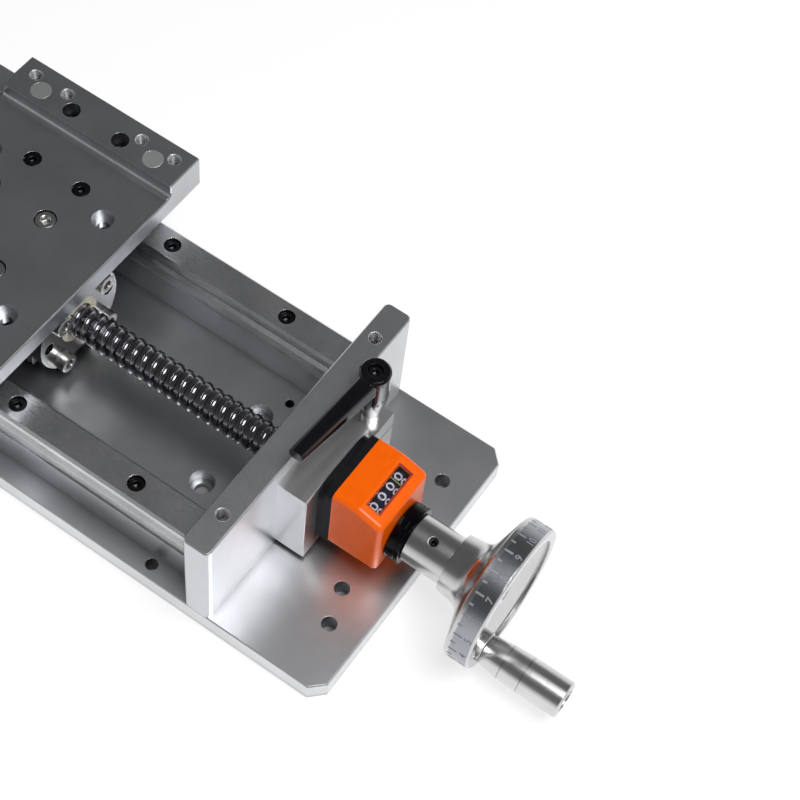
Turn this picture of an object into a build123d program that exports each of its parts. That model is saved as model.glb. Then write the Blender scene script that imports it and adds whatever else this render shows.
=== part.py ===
from build123d import *
import math
import os

# Frame: millimetres, +Z up, +X towards the handwheel, +Y the far side in the usual view.
# The origin is the centre of the rectangle of base bolts, on the base plate's bottom face.

# Travel
stroke = 100.0
table_length = 90.0
end_gap = 1.5
bay_length = stroke + table_length + 2 * end_gap
bay_end = bay_length / 2
table_x = -stroke / 2

# Running gaps and fits
body_gap = 0.3
bore_fit = 0.05
thread_fit = 0.05
edge_break = 0.5
touch = 0.01

# Socket head cap screws: nominal radius, head radius and height, clearance hole, counterbore
m4_radius = 2.0
m4_head_radius = 3.5
m4_head_height = 4.0
m4_hole_radius = 2.25
m5_radius = 2.5
m5_head_radius = 4.25
m5_head_height = 5.0
m5_hole_radius = 2.75
m6_radius = 3.0
m6_head_radius = 5.0
m6_head_height = 6.0
m6_hole_radius = 3.3
head_sink = 0.4
tap_spare = 1.5

# Base plate
base_width = 135.0
base_thickness = 10.0
overhang_length = 54.0
corner_chamfer = 5.8
base_bolt_pitch_x = 138.0
base_bolt_pitch_y = 40.0
base_bolt_sink_radius = 5.5
base_bolt_sink_depth = 6.8
ledge_hole_radius = 2.75
ledge_hole_pitch_x = 152.0
ledge_hole_pitch_y = 123.4
dowel_hole_radius = 2.0
dowel_pitch_x = 150.6
dowel_pitch_y = 64.8
outer_hole_from_plate = 39.2
outer_hole_pitch = 81.0
inner_hole_from_plate = 34.3
inner_hole_pitch = 49.6

# End plates
plate_thickness = 12.5
plate_height = 55.0
plate_corner_radius = 2.5
plate_top_hole_pitch = 100.0
plate_top_hole_depth = 14.0
plate_screw_y = (22.5, 57.0)
plate_screw_length = 16.0

# Rails and the bars under them
rail_pitch = 99.0
rail_width = 15.0
rail_height = 15.0
rail_hole_pitch = 60.0
rail_sink_radius = 3.75
rail_sink_depth = 5.3
rail_groove_low = 5.6
rail_groove_high = 11.2
rail_groove_depth = 1.6
rail_groove_slope = 1.8
rail_top_bevel = 1.2
rail_screw_length = 16.0
bar_width = 16.5
bar_height = 17.0
bar_screw_length = 16.0
bar_screw_inner = 30.0
bar_screw_outer = 85.0

# Guide blocks
block_width = 34.0
block_length = 61.4
block_steel_length = 39.4
block_bolt_pitch = 26.0
block_lift = 4.3
block_seat_height = 28.0
block_bevel = 1.0
seal_thickness = 1.5
cap_inset = 0.4

# Table
table_width = 150.0
table_thickness = 16.0
recess_depth = 7.0
recess_width = 111.8
recess_fillet = 3.0
strip_hole_radius = 3.0
strip_hole_depth = 13.0
strip_hole_pitch_y = 136.6
strip_hole_inner_pitch = 40.0
strip_hole_outer_pitch = 74.4
plug_radius = 4.5
plug_depth = 5.0
plug_pitch_x = 60.0
plug_pitch_y = 126.0
cross_hole_radius = 2.75
cross_sink_radius = 4.8
cross_sink_depth = 5.4
cross_pitch_x = 60.0
cross_pitch_y = 60.0
block_screw_sink_radius = 4.0
block_screw_grip = 4.6
block_screw_length = 10.0
bracket_screw_sink_radius = 4.85
bracket_screw_grip = 3.6
bracket_screw_length = 16.0
bracket_screw_ahead = 11.5
bracket_screw_behind = 18.5
bracket_screw_pitch_y = 31.4

# Ball screw and nut
screw_radius = 7.5
screw_lead = 5.0
raceway_radius = 1.75
raceway_centre_radius = 8.35
raceway_margin = 3.5
front_journal_radius = 6.0
shaft_radius = 5.0
nut_flange_radius = 24.0
nut_flange_thickness = 10.0
nut_flat_width = 40.0
nut_body_radius = 14.0
nut_length = 50.0
nut_bolt_circle = 38.0
nut_bolt_angle = 45.0
nut_screw_length = 20.0
nut_flange_from_centre = 29.8
wiper_radius = 11.0
wiper_thickness = 4.0
wiper_finger_count = 6
wiper_slit = 0.8
bracket_length = 60.0
bracket_width = 40.0

# Bearings
axis_below_table = 20.0
front_bearing_radius = 14.0
front_bearing_width = 8.0
rear_bearing_radius = 13.0
rear_bearing_width = 8.0
race_wall = 2.3
shield_inset = 0.4
shield_thickness = 0.6
plate_passage_radius = 10.0
rear_end_room = 2.6
ring_thickness = 1.1
ring_radius = 7.4
ring_groove_depth = 0.6
rear_room_radius = 8.5
lock_nut_radius = 11.0
lock_nut_length = 6.5
lock_nut_slots = 4
lock_nut_slot_width = 3.0
lock_nut_slot_depth = 1.5

# Clamp block and lever
clamp_thickness = 14.0
clamp_bottom = 12.5
clamp_top = 57.5
clamp_near = 24.0
clamp_step = 18.0
clamp_far = 37.0
clamp_ledge_top = 44.5
clamp_slit = 1.5
clamp_sink_radius = 12.5
clamp_sink_depth = 7.5
clamp_bolt_pitch_y = 23.0
clamp_bolt_pitch_z = 32.0
clamp_bolt_sink = 5.5
clamp_screw_length = 16.0
lever_y = 29.7
stud_radius = 3.0
stud_collar_radius = 4.0
stud_collar_height = 5.2
stud_length = 24.0
spline_radius = 3.4
spline_height = 8.0
hub_low_radius = 4.3
hub_high_radius = 6.5
hub_waist_height = 16.0
hub_flare = 0.15
hub_bevel = 0.8
neck_thickness = 2.5
lever_screw_radius = 3.1
lever_screw_head = 3.2
lever_screw_sink = 1.2
lever_screw_thread = 6.0
lever_arm_length = 49.0
lever_arm_start = 4.5
lever_arm_drop = 0.9
lever_arm_rise = 5.0
lever_arm_turn = 3.0
lever_root_width = 8.5
lever_tip_width = 6.3
lever_root_height = 10.0
lever_tip_height = 5.5
lever_corner = 2.4
lever_lift = 4.0
spring_block_length = 9.8

# Position indicator
gasket_thickness = 3.0
gasket_top = 59.3
gasket_corner = 8.0
back_plate_thickness = 3.5
back_plate_corner = 3.5
housing_length = 23.0
housing_width = 33.0
housing_bottom = 22.0
housing_top = 60.0
housing_flat_length = 11.5
housing_slope = 18.0
housing_wall = 1.8
housing_corner = 2.5
hollow_shaft_radius = 7.0
collar_gap = 0.5
collar_length = 6.0
collar_radius = 12.5
collar_groove_inset = 1.6
collar_groove_width = 0.7
collar_groove_depth = 0.5
collar_screw_tilt = 180.0
window_from_break = 0.8
window_length = 7.0
window_width = 23.0
window_lip = 0.8
lens_sink = 0.2
lens_thickness = 1.0
drum_count = 4
drum_pitch = 5.5
drum_width = 5.2
drum_radius = 5.9
drum_offset = -0.9
drum_axle_radius = 1.5
axle_socket = 1.0
pin_radius = 2.0
pin_height = 17.0
pin_length = 8.0

# Sleeve, handwheel and crank handle
sleeve_length = 19.0
sleeve_radius = 10.6
set_screw_radius = 2.0
set_screw_sink = 1.2
set_screw_from_collar = 9.6
set_screw_tilt = 13.0
hub_length = 10.3
hub_root_radius = 12.7
hub_tip_radius = 13.9
rim_radius = 31.6
rim_width = 11.3
rim_from_hub = 16.0
rim_edge = 0.7
web_fillet = 3.0
dish_fillet = 2.0
dish_radius = 15.0
dish_depth = 10.0
dish_floor_radius = 10.5
wheel_washer_radius = 7.5
wheel_washer_thickness = 1.5
wheel_screw_length = 12.0
crank_circle = 24.0
crank_angle = -128.0
crank_length = 37.0
crank_root_radius = 6.4
crank_end_radius = 8.0
crank_swell_length = 22.0
crank_flare = 0.18
crank_end_bevel = 0.8
crank_end_play = 0.1
crank_bore_radius = 3.05
crank_axle_radius = 3.0
crank_thread_length = 7.0
crank_head_radius = 4.6
crank_head_height = 3.0
crank_head_room = 4.0

# Levels and places that follow from the sizes above
plate_front = bay_end + plate_thickness
base_front = plate_front + overhang_length
bar_top = base_thickness + bar_height
rail_top = bar_top + rail_height
table_bottom = bar_top + block_seat_height
table_top = table_bottom + table_thickness
recess_floor = table_top - recess_depth
axis_z = table_bottom - axis_below_table
plate_top = base_thickness + plate_height
plate_middle = bay_end + plate_thickness / 2
front_bearing_x = plate_front - front_bearing_width
nut_face_x = table_x + nut_flange_from_centre + nut_flange_thickness
clamp_front = plate_front + clamp_thickness
back_plate_x = clamp_front + gasket_thickness
housing_x = back_plate_x + back_plate_thickness
housing_front = housing_x + housing_length
slope_x = housing_x + housing_flat_length
collar_front = housing_front + collar_gap + collar_length
sleeve_front = collar_front + sleeve_length
wheel_back = sleeve_front
rim_back = wheel_back + rim_from_hub
wheel_front = rim_back + rim_width
dish_floor = wheel_front - dish_depth
shaft_end = dish_floor - body_gap
crank_y = crank_circle * math.cos(math.radians(crank_angle))
crank_z = axis_z + crank_circle * math.sin(math.radians(crank_angle))
stud_x = plate_front + clamp_thickness / 2


def across(x):
    """Plane across the spindle at x: its own x is +Y, its own y is +Z, its normal is +X."""
    return Plane(origin=(x, 0, 0), x_dir=(0, 1, 0), z_dir=(1, 0, 0))


def around_axis(x):
    """Plane across the spindle at x with its origin on the spindle axis."""
    return Plane(origin=(x, 0, axis_z), x_dir=(0, 1, 0), z_dir=(1, 0, 0))


def along_axis(y=0.0, z=axis_z):
    """Upright plane along a spindle-wise axis, for profiles of x and radius."""
    return Plane(origin=(0, y, z), x_dir=(1, 0, 0), z_dir=(0, -1, 0))


def facing_down(z=0.0):
    """Level plane at z that looks down, for holes and screws that come from below."""
    return Plane(origin=(0, 0, z), x_dir=(1, 0, 0), z_dir=(0, 0, -1))


def save(piece, name):
    """Label a finished piece and write it under its own name."""
    piece.label = name
    export_step(piece, f"parts/{name}.step")


def add_disks(plane, points, radius, height, mode=Mode.ADD):
    """Round bars of one size on a plane; with Mode.SUBTRACT they are holes."""
    with BuildSketch(plane) as disks:
        with Locations(*points):
            Circle(radius)
    extrude(disks.sketch, amount=height, mode=mode)


def add_cap_screws(seat, points, radius, head_radius, head_height, length):
    """Socket head cap screws whose heads rest on the seat plane."""
    add_disks(seat, points, head_radius, head_height)
    add_disks(seat, points, radius, -length)


def turned(points, plane):
    """Solid of revolution of a closed outline of (x, radius) points about the plane's x axis."""
    with BuildPart() as body:
        with BuildSketch(plane):
            with BuildLine():
                Polyline(*points, close=True)
            make_face()
        revolve(axis=Axis(plane.origin, plane.x_dir))
    return body.part


os.makedirs("parts", exist_ok=True)

# Points of the hole and screw patterns
both_sides = (-1, 1)
plate_screw_points = [
    (x * plate_middle, s * y) for x in both_sides for s in both_sides for y in plate_screw_y
]
rail_hole_xs = [i * rail_hole_pitch for i in (-1, 0, 1)]
bar_screw_xs = [s * x for s in both_sides for x in (bar_screw_inner, bar_screw_outer)]
rail_ys = [s * rail_pitch / 2 for s in both_sides]
bar_screw_points = [(x, y) for x in bar_screw_xs for y in rail_ys]
rail_screw_points = [(x, y) for x in rail_hole_xs for y in rail_ys]
clamp_bolt_points = [
    (y * clamp_bolt_pitch_y / 2, z * clamp_bolt_pitch_z / 2) for y in both_sides for z in both_sides
]
block_screw_points = [
    (table_x + i * block_bolt_pitch / 2, y + j * block_bolt_pitch / 2)
    for i in both_sides
    for j in both_sides
    for y in rail_ys
]
bracket_screw_points = [
    (table_x + x, s * bracket_screw_pitch_y / 2)
    for x in (bracket_screw_ahead, -bracket_screw_behind)
    for s in both_sides
]
plug_points = [
    (table_x + i * plug_pitch_x / 2, j * plug_pitch_y / 2) for i in both_sides for j in both_sides
]
nut_hole_angles = [side + step * nut_bolt_angle for side in (0, 180) for step in (-1, 0, 1)]
nut_hole_points = [
    (nut_bolt_circle / 2 * math.cos(math.radians(a)), nut_bolt_circle / 2 * math.sin(math.radians(a)))
    for a in nut_hole_angles
]
nut_screw_points = [p for p in nut_hole_points if abs(p[1]) > m5_radius]

# Base plate with its overhang under the handwheel
base_seat = head_sink + m6_head_height
bar_seat = head_sink + m5_head_height
with BuildPart() as base_plate:
    with BuildSketch() as base_outline:
        with Locations(((base_front - plate_front) / 2, 0)):
            Rectangle(base_front + plate_front, base_width)
        chamfer(base_outline.vertices().sort_by(Axis.X)[-2:], corner_chamfer)
    extrude(amount=base_thickness)
    chamfer(base_plate.faces().sort_by(Axis.Z)[-1].edges(), edge_break)
    with Locations((0, 0, base_thickness)):
        with GridLocations(base_bolt_pitch_x, base_bolt_pitch_y, 2, 2):
            CounterBoreHole(m6_hole_radius, base_bolt_sink_radius, base_bolt_sink_depth)
        with GridLocations(ledge_hole_pitch_x, ledge_hole_pitch_y, 2, 2):
            Hole(ledge_hole_radius)
        with GridLocations(dowel_pitch_x, dowel_pitch_y, 2, 2):
            Hole(dowel_hole_radius)
        with Locations((plate_front + outer_hole_from_plate, 0)):
            with GridLocations(1, outer_hole_pitch, 1, 2):
                Hole(m6_hole_radius)
        with Locations((plate_front + inner_hole_from_plate, 0)):
            with GridLocations(1, inner_hole_pitch, 1, 2):
                Hole(m6_hole_radius)
    with Locations(facing_down()):
        with Locations(*plate_screw_points):
            CounterBoreHole(m6_hole_radius, base_bolt_sink_radius, base_seat)
        with Locations(*bar_screw_points):
            CounterBoreHole(m5_hole_radius, m5_head_radius + head_sink, bar_seat)
save(base_plate.part, "base_plate")


def end_plate(inner_x, outer_x):
    """Upright end plate between two x values, with the tapped holes that both plates have."""
    low_x = min(inner_x, outer_x)
    middle = (inner_x + outer_x) / 2
    thread_depth = base_seat + plate_screw_length + tap_spare - base_thickness
    with BuildPart() as plate:
        with BuildSketch(Plane.XY.offset(base_thickness)):
            with Locations((low_x, 0)):
                Rectangle(plate_thickness, base_width, align=(Align.MIN, Align.CENTER))
        extrude(amount=plate_height)
        fillet(plate.edges().filter_by(Axis.Z), plate_corner_radius)
        chamfer(plate.faces().sort_by(Axis.Z)[-1].edges(), edge_break)
        with Locations((middle, 0, plate_top)):
            with GridLocations(1, plate_top_hole_pitch, 1, 2):
                Hole(m6_radius, plate_top_hole_depth)
        screw_points = [(middle, s * y) for s in both_sides for y in plate_screw_y]
        add_disks(
            Plane.XY.offset(base_thickness), screw_points, m6_radius + thread_fit, thread_depth, Mode.SUBTRACT
        )
    return plate.part


# Front end plate: bearing pocket open to the clamp block, passage for the screw
with BuildPart() as front_end_plate:
    add(end_plate(bay_end, plate_front))
    add_disks(around_axis(plate_front), [(0, 0)], front_bearing_radius, -front_bearing_width, Mode.SUBTRACT)
    add_disks(around_axis(plate_front), [(0, 0)], plate_passage_radius, -plate_thickness, Mode.SUBTRACT)
    clamp_thread_depth = clamp_screw_length + clamp_bolt_sink + tap_spare - clamp_thickness
    clamp_taps = around_axis(plate_front)
    add_disks(clamp_taps, clamp_bolt_points, m5_radius + thread_fit, -clamp_thread_depth, Mode.SUBTRACT)
save(front_end_plate.part, "front_end_plate")

# Rear end plate: blind bearing pocket with room for the retaining ring
with BuildPart() as rear_end_plate:
    add(end_plate(-bay_end, -plate_front))
    pocket_depth = rear_bearing_width + rear_end_room
    add_disks(around_axis(-bay_end), [(0, 0)], rear_bearing_radius, -rear_bearing_width, Mode.SUBTRACT)
    add_disks(around_axis(-bay_end), [(0, 0)], rear_room_radius, -pocket_depth, Mode.SUBTRACT)
save(rear_end_plate.part, "rear_end_plate")

with BuildPart() as end_plate_screws:
    add_cap_screws(
        facing_down(base_seat),
        plate_screw_points,
        m6_radius,
        m6_head_radius,
        m6_head_height,
        plate_screw_length,
    )
save(end_plate_screws.part, "end_plate_screws")

with BuildPart() as bar_screws:
    add_cap_screws(
        facing_down(bar_seat),
        bar_screw_points,
        m5_radius,
        m5_head_radius,
        m5_head_height,
        bar_screw_length,
    )
save(bar_screws.part, "bar_screws")

with BuildPart() as rail_screws:
    add_cap_screws(
        Plane.XY.offset(rail_top - rail_sink_depth),
        rail_screw_points,
        m4_radius,
        m4_head_radius,
        m4_head_height,
        rail_screw_length,
    )
save(rail_screws.part, "rail_screws")


def support_bar(y):
    """Bar under one rail, tapped for the rail screws above and its own screws below."""
    top_thread = rail_screw_length + rail_sink_depth + tap_spare - rail_height
    low_thread = bar_seat + bar_screw_length + tap_spare - base_thickness
    with BuildPart() as bar:
        with BuildSketch(Plane.XY.offset(base_thickness)):
            with Locations((0, y)):
                Rectangle(bay_length, bar_width)
        extrude(amount=bar_height)
        top_points = [(x, y) for x in rail_hole_xs]
        add_disks(Plane.XY.offset(bar_top), top_points, m4_radius + thread_fit, -top_thread, Mode.SUBTRACT)
        low_points = [(x, y) for x in bar_screw_xs]
        add_disks(
            Plane.XY.offset(base_thickness), low_points, m5_radius + thread_fit, low_thread, Mode.SUBTRACT
        )
    return bar.part


def rail_outline(grow):
    """Half outline of a rail above its seat, wider all round by grow."""
    half = rail_width / 2 + grow
    waist = half - rail_groove_depth
    top = rail_height + grow
    return [
        (0, 0),
        (half, 0),
        (half, rail_groove_low - grow),
        (waist, rail_groove_low + rail_groove_slope - grow),
        (waist, rail_groove_high - rail_groove_slope + grow),
        (half, rail_groove_high + grow),
        (half, top - rail_top_bevel),
        (half - rail_top_bevel, top),
        (0, top),
    ]


def rail_face(plane, grow):
    """Closed cross-section of a rail on a plane whose origin is the middle of the rail's seat."""
    with BuildSketch(plane) as section:
        with BuildLine():
            Polyline(*rail_outline(grow), close=True)
        make_face()
        mirror(about=Plane.YZ)
    return section.sketch


def rail(y):
    """Profile rail with its counterbored screw holes."""
    with BuildPart() as bar:
        seat = Plane(origin=(-bay_end, y, bar_top), x_dir=(0, 1, 0), z_dir=(1, 0, 0))
        extrude(rail_face(seat, 0), amount=bay_length)
        with Locations((0, y, rail_top)):
            with GridLocations(rail_hole_pitch, 1, 3, 1):
                CounterBoreHole(m4_hole_radius, rail_sink_radius, rail_sink_depth)
    return bar.part


def block_section(plane, inset, grow):
    """Cross-section of a guide block round its rail: outline smaller by inset, channel clear by grow."""
    width = block_width - 2 * inset
    height = block_seat_height - block_lift - 2 * inset
    with BuildSketch(plane) as outline:
        with Locations((0, block_lift + inset)):
            Rectangle(width, height, align=(Align.CENTER, Align.MIN))
        chamfer(outline.vertices(), block_bevel)
    channel = rail_face(plane, grow)
    return outline.sketch - channel


def guide_slice(x, y, length, inset, grow):
    """Stretch of a guide block that starts at x on the rail at y."""
    seat = Plane(origin=(x, y, bar_top), x_dir=(0, 1, 0), z_dir=(1, 0, 0))
    with BuildPart() as stretch:
        extrude(block_section(seat, inset, grow), amount=length)
    return stretch.part


def guide_block(y):
    """Steel body of a guide block, tapped from above."""
    depth = block_screw_length - block_screw_grip + tap_spare
    with BuildPart() as block:
        add(guide_slice(table_x - block_steel_length / 2, y, block_steel_length, 0, body_gap))
        points = [p for p in block_screw_points if abs(p[1] - y) < block_width / 2]
        add_disks(Plane.XY.offset(table_bottom), points, m4_radius + thread_fit, -depth, Mode.SUBTRACT)
    return block.part


for side, rail_y in zip(("near", "far"), rail_ys):
    save(support_bar(rail_y), f"support_bar_{side}")
    save(rail(rail_y), f"rail_{side}")
    save(guide_block(rail_y), f"guide_block_{side}")

# End caps and wiper seals of both guide blocks
cap_length = (block_length - block_steel_length) / 2 - seal_thickness
cap_rear_x = table_x - block_steel_length / 2 - cap_length
cap_front_x = table_x + block_steel_length / 2
seal_rear_x = cap_rear_x - seal_thickness
seal_front_x = cap_front_x + cap_length
with BuildPart() as guide_end_caps:
    for rail_y in rail_ys:
        add(guide_slice(cap_rear_x, rail_y, cap_length, cap_inset, 2 * body_gap))
        add(guide_slice(cap_front_x, rail_y, cap_length, cap_inset, 2 * body_gap))
save(guide_end_caps.part, "guide_end_caps")

with BuildPart() as guide_end_seals:
    for rail_y in rail_ys:
        add(guide_slice(seal_rear_x, rail_y, seal_thickness, 2 * cap_inset, body_gap))
        add(guide_slice(seal_front_x, rail_y, seal_thickness, 2 * cap_inset, body_gap))
save(guide_end_seals.part, "guide_end_seals")

# Table plate: two raised edges, milled middle, holes for a second axis
block_screw_seat = table_bottom + block_screw_grip
bracket_screw_seat = table_bottom + bracket_screw_grip
with BuildPart() as table_plate:
    front_face = across(table_x + table_length / 2)
    with BuildSketch(front_face) as table_outline:
        with Locations((0, table_bottom)):
            Rectangle(table_width, table_thickness, align=(Align.CENTER, Align.MIN))
        with Locations((0, recess_floor)):
            Rectangle(
                recess_width, recess_depth, align=(Align.CENTER, Align.MIN), mode=Mode.SUBTRACT
            )
        inner_corners = [
            v
            for v in table_outline.vertices()
            if abs(v.Y - recess_floor) < touch and abs(v.X) < table_width / 2
        ]
        fillet(inner_corners, recess_fillet)
    extrude(amount=-table_length)
    top_edges = [
        e
        for e in table_plate.faces().sort_by(Axis.X)[-1].edges().filter_by(Axis.Y)
        if e.center().Z > table_bottom + touch
    ]
    chamfer(top_edges, edge_break)
    with Locations((table_x, 0, table_top)):
        with GridLocations(strip_hole_inner_pitch, strip_hole_pitch_y, 2, 2):
            Hole(strip_hole_radius, strip_hole_depth)
        with GridLocations(strip_hole_outer_pitch, strip_hole_pitch_y, 2, 2):
            Hole(strip_hole_radius, strip_hole_depth)
    with Locations((table_x, 0, recess_floor)):
        with GridLocations(cross_pitch_x, cross_pitch_y, 2, 2):
            CounterBoreHole(cross_hole_radius, cross_sink_radius, cross_sink_depth)
    above = Plane.XY.offset(table_top)
    below = Plane.XY.offset(table_bottom)
    add_disks(above, plug_points, plug_radius, -plug_depth, Mode.SUBTRACT)
    add_disks(below, plug_points, m5_hole_radius, table_thickness, Mode.SUBTRACT)
    block_sink = block_screw_seat - table_top
    add_disks(above, block_screw_points, block_screw_sink_radius, block_sink, Mode.SUBTRACT)
    add_disks(below, block_screw_points, m4_hole_radius, table_thickness, Mode.SUBTRACT)
    bracket_sink = bracket_screw_seat - table_top
    add_disks(above, bracket_screw_points, bracket_screw_sink_radius, bracket_sink, Mode.SUBTRACT)
    add_disks(below, bracket_screw_points, m5_hole_radius, table_thickness, Mode.SUBTRACT)
save(table_plate.part, "table_plate")

with BuildPart() as hole_plugs:
    add_disks(Plane.XY.offset(table_top), plug_points, plug_radius - bore_fit, -plug_depth)
save(hole_plugs.part, "hole_plugs")

with BuildPart() as guide_block_screws:
    add_cap_screws(
        Plane.XY.offset(block_screw_seat),
        block_screw_points,
        m4_radius,
        m4_head_radius,
        m4_head_height,
        block_screw_length,
    )
save(guide_block_screws.part, "guide_block_screws")

with BuildPart() as bracket_screws:
    add_cap_screws(
        Plane.XY.offset(bracket_screw_seat),
        bracket_screw_points,
        m5_radius,
        m5_head_radius,
        m5_head_height,
        bracket_screw_length,
    )
save(bracket_screws.part, "bracket_screws")

# Nut bracket under the table
bracket_bottom = axis_z - nut_flat_width / 2
bracket_front = table_x + nut_flange_from_centre
with BuildPart() as nut_bracket:
    with BuildSketch(across(bracket_front)):
        with Locations((0, bracket_bottom)):
            Rectangle(bracket_width, table_bottom - bracket_bottom, align=(Align.CENTER, Align.MIN))
    extrude(amount=-bracket_length)
    chamfer(nut_bracket.edges().filter_by(Axis.X).sort_by(Axis.Z)[:2], edge_break)
    nut_seat = around_axis(bracket_front)
    add_disks(nut_seat, [(0, 0)], nut_body_radius + bore_fit, -bracket_length, Mode.SUBTRACT)
    nut_thread_depth = nut_screw_length - nut_flange_thickness + tap_spare
    add_disks(nut_seat, nut_screw_points, m5_radius + thread_fit, -nut_thread_depth, Mode.SUBTRACT)
    bracket_thread_depth = bracket_screw_length - bracket_screw_grip + tap_spare / 2
    add_disks(
        Plane.XY.offset(table_bottom),
        bracket_screw_points,
        m5_radius + thread_fit,
        -bracket_thread_depth,
        Mode.SUBTRACT,
    )
save(nut_bracket.part, "nut_bracket")

# Ball nut: flange cut flat above and below, wiper pockets at both ends
nut_back_x = nut_face_x - nut_length
with BuildPart() as ball_nut:
    with BuildSketch(around_axis(bracket_front)):
        Circle(nut_flange_radius)
        Rectangle(2 * nut_flange_radius, nut_flat_width, mode=Mode.INTERSECT)
    extrude(amount=nut_flange_thickness)
    add_disks(around_axis(bracket_front), [(0, 0)], nut_body_radius, nut_flange_thickness - nut_length)
    add_disks(
        around_axis(nut_face_x), [(0, 0)], screw_radius + body_gap, -nut_length, Mode.SUBTRACT
    )
    add_disks(around_axis(nut_face_x), [(0, 0)], wiper_radius, -wiper_thickness, Mode.SUBTRACT)
    add_disks(around_axis(nut_back_x), [(0, 0)], wiper_radius, wiper_thickness, Mode.SUBTRACT)
    add_disks(
        around_axis(nut_face_x), nut_hole_points, m5_hole_radius, -nut_flange_thickness, Mode.SUBTRACT
    )
save(ball_nut.part, "ball_nut")

# Plastic wipers in the two mouths of the nut, slit into fingers
with BuildPart() as nut_wipers:
    for start_x in (nut_back_x, nut_face_x - wiper_thickness):
        with BuildSketch(around_axis(start_x)) as wiper_ring:
            Circle(wiper_radius - bore_fit)
            Circle(screw_radius + 2 * bore_fit, mode=Mode.SUBTRACT)
            with PolarLocations(screw_radius, wiper_finger_count):
                Rectangle(wiper_radius - screw_radius, wiper_slit, mode=Mode.SUBTRACT)
        extrude(amount=wiper_thickness)
save(nut_wipers.part, "nut_wipers")

with BuildPart() as nut_screws:
    add_cap_screws(
        around_axis(nut_face_x), nut_screw_points, m5_radius, m5_head_radius, m5_head_height, nut_screw_length
    )
save(nut_screws.part, "nut_screws")

# Ball screw: stepped shaft with a helical raceway
raceway_start = -bay_end + raceway_margin
raceway_turns = math.floor((front_bearing_x - raceway_margin - raceway_start) / screw_lead)
rear_end_x = -bay_end - rear_bearing_width - rear_end_room + body_gap
ring_x = -bay_end - rear_bearing_width
lock_nut_end = plate_front + lock_nut_length
screw_profile = [
    (rear_end_x, 0),
    (rear_end_x, shaft_radius),
    (ring_x - ring_thickness, shaft_radius),
    (ring_x - ring_thickness, shaft_radius - ring_groove_depth),
    (ring_x, shaft_radius - ring_groove_depth),
    (ring_x, shaft_radius),
    (-bay_end, shaft_radius),
    (-bay_end, screw_radius),
    (front_bearing_x, screw_radius),
    (front_bearing_x, front_journal_radius),
    (lock_nut_end, front_journal_radius),
    (lock_nut_end, shaft_radius),
    (shaft_end, shaft_radius),
    (shaft_end, 0),
]
with BuildPart() as raceway:
    with BuildLine() as raceway_path:
        Helix(
            pitch=screw_lead,
            height=raceway_turns * screw_lead,
            radius=raceway_centre_radius,
            center=(raceway_start, 0, axis_z),
            direction=(1, 0, 0),
        )
    with BuildSketch(Plane(origin=raceway_path.line @ 0, z_dir=raceway_path.line % 0)):
        Circle(raceway_radius)
    sweep(path=raceway_path.line, is_frenet=True)
with BuildPart() as ball_screw:
    add(turned(screw_profile, along_axis()))
    add_disks(
        around_axis(shaft_end),
        [(0, 0)],
        m5_radius + thread_fit,
        wheel_washer_thickness - wheel_screw_length - tap_spare,
        Mode.SUBTRACT,
    )
    add(raceway.part, mode=Mode.SUBTRACT)
save(ball_screw.part, "ball_screw")


def bearing_rings(x, width, bore, outside, name):
    """Outer and inner ring of a deep groove bearing that starts at x."""
    for ring, low, high in (("outer", outside - race_wall, outside), ("inner", bore, bore + race_wall)):
        outline = [(x, low), (x, high), (x + width, high), (x + width, low)]
        save(turned(outline, along_axis()), f"{name}_bearing_{ring}_ring")


bearing_rings(front_bearing_x, front_bearing_width, front_journal_radius, front_bearing_radius, "front")
bearing_rings(ring_x, rear_bearing_width, shaft_radius, rear_bearing_radius, "rear")

# Shields that close the bearings on both faces
with BuildPart() as bearing_shields:
    bearings = (
        (front_bearing_x, front_bearing_width, front_journal_radius, front_bearing_radius),
        (ring_x, rear_bearing_width, shaft_radius, rear_bearing_radius),
    )
    for start_x, width, bore, outside in bearings:
        for shield_x in (start_x + shield_inset, start_x + width - shield_inset - shield_thickness):
            with BuildSketch(around_axis(shield_x)):
                Circle(outside - race_wall)
                Circle(bore + race_wall + body_gap, mode=Mode.SUBTRACT)
            extrude(amount=shield_thickness)
save(bearing_shields.part, "bearing_shields")

# Retaining ring behind the rear bearing, open on one side
with BuildPart() as rear_retaining_ring:
    with BuildSketch(around_axis(ring_x)):
        Circle(ring_radius)
        Circle(shaft_radius - ring_groove_depth, mode=Mode.SUBTRACT)
        with Locations((0, -ring_radius)):
            Rectangle(ring_radius, ring_radius, mode=Mode.SUBTRACT)
    extrude(amount=-ring_thickness)
save(rear_retaining_ring.part, "rear_retaining_ring")

# Slotted lock nut that holds the front bearing
with BuildPart() as bearing_lock_nut:
    with BuildSketch(around_axis(plate_front)):
        Circle(lock_nut_radius)
        Circle(front_journal_radius, mode=Mode.SUBTRACT)
        with PolarLocations(lock_nut_radius, lock_nut_slots):
            Rectangle(2 * lock_nut_slot_depth, lock_nut_slot_width, mode=Mode.SUBTRACT)
    extrude(amount=lock_nut_length)
save(bearing_lock_nut.part, "bearing_lock_nut")

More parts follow.
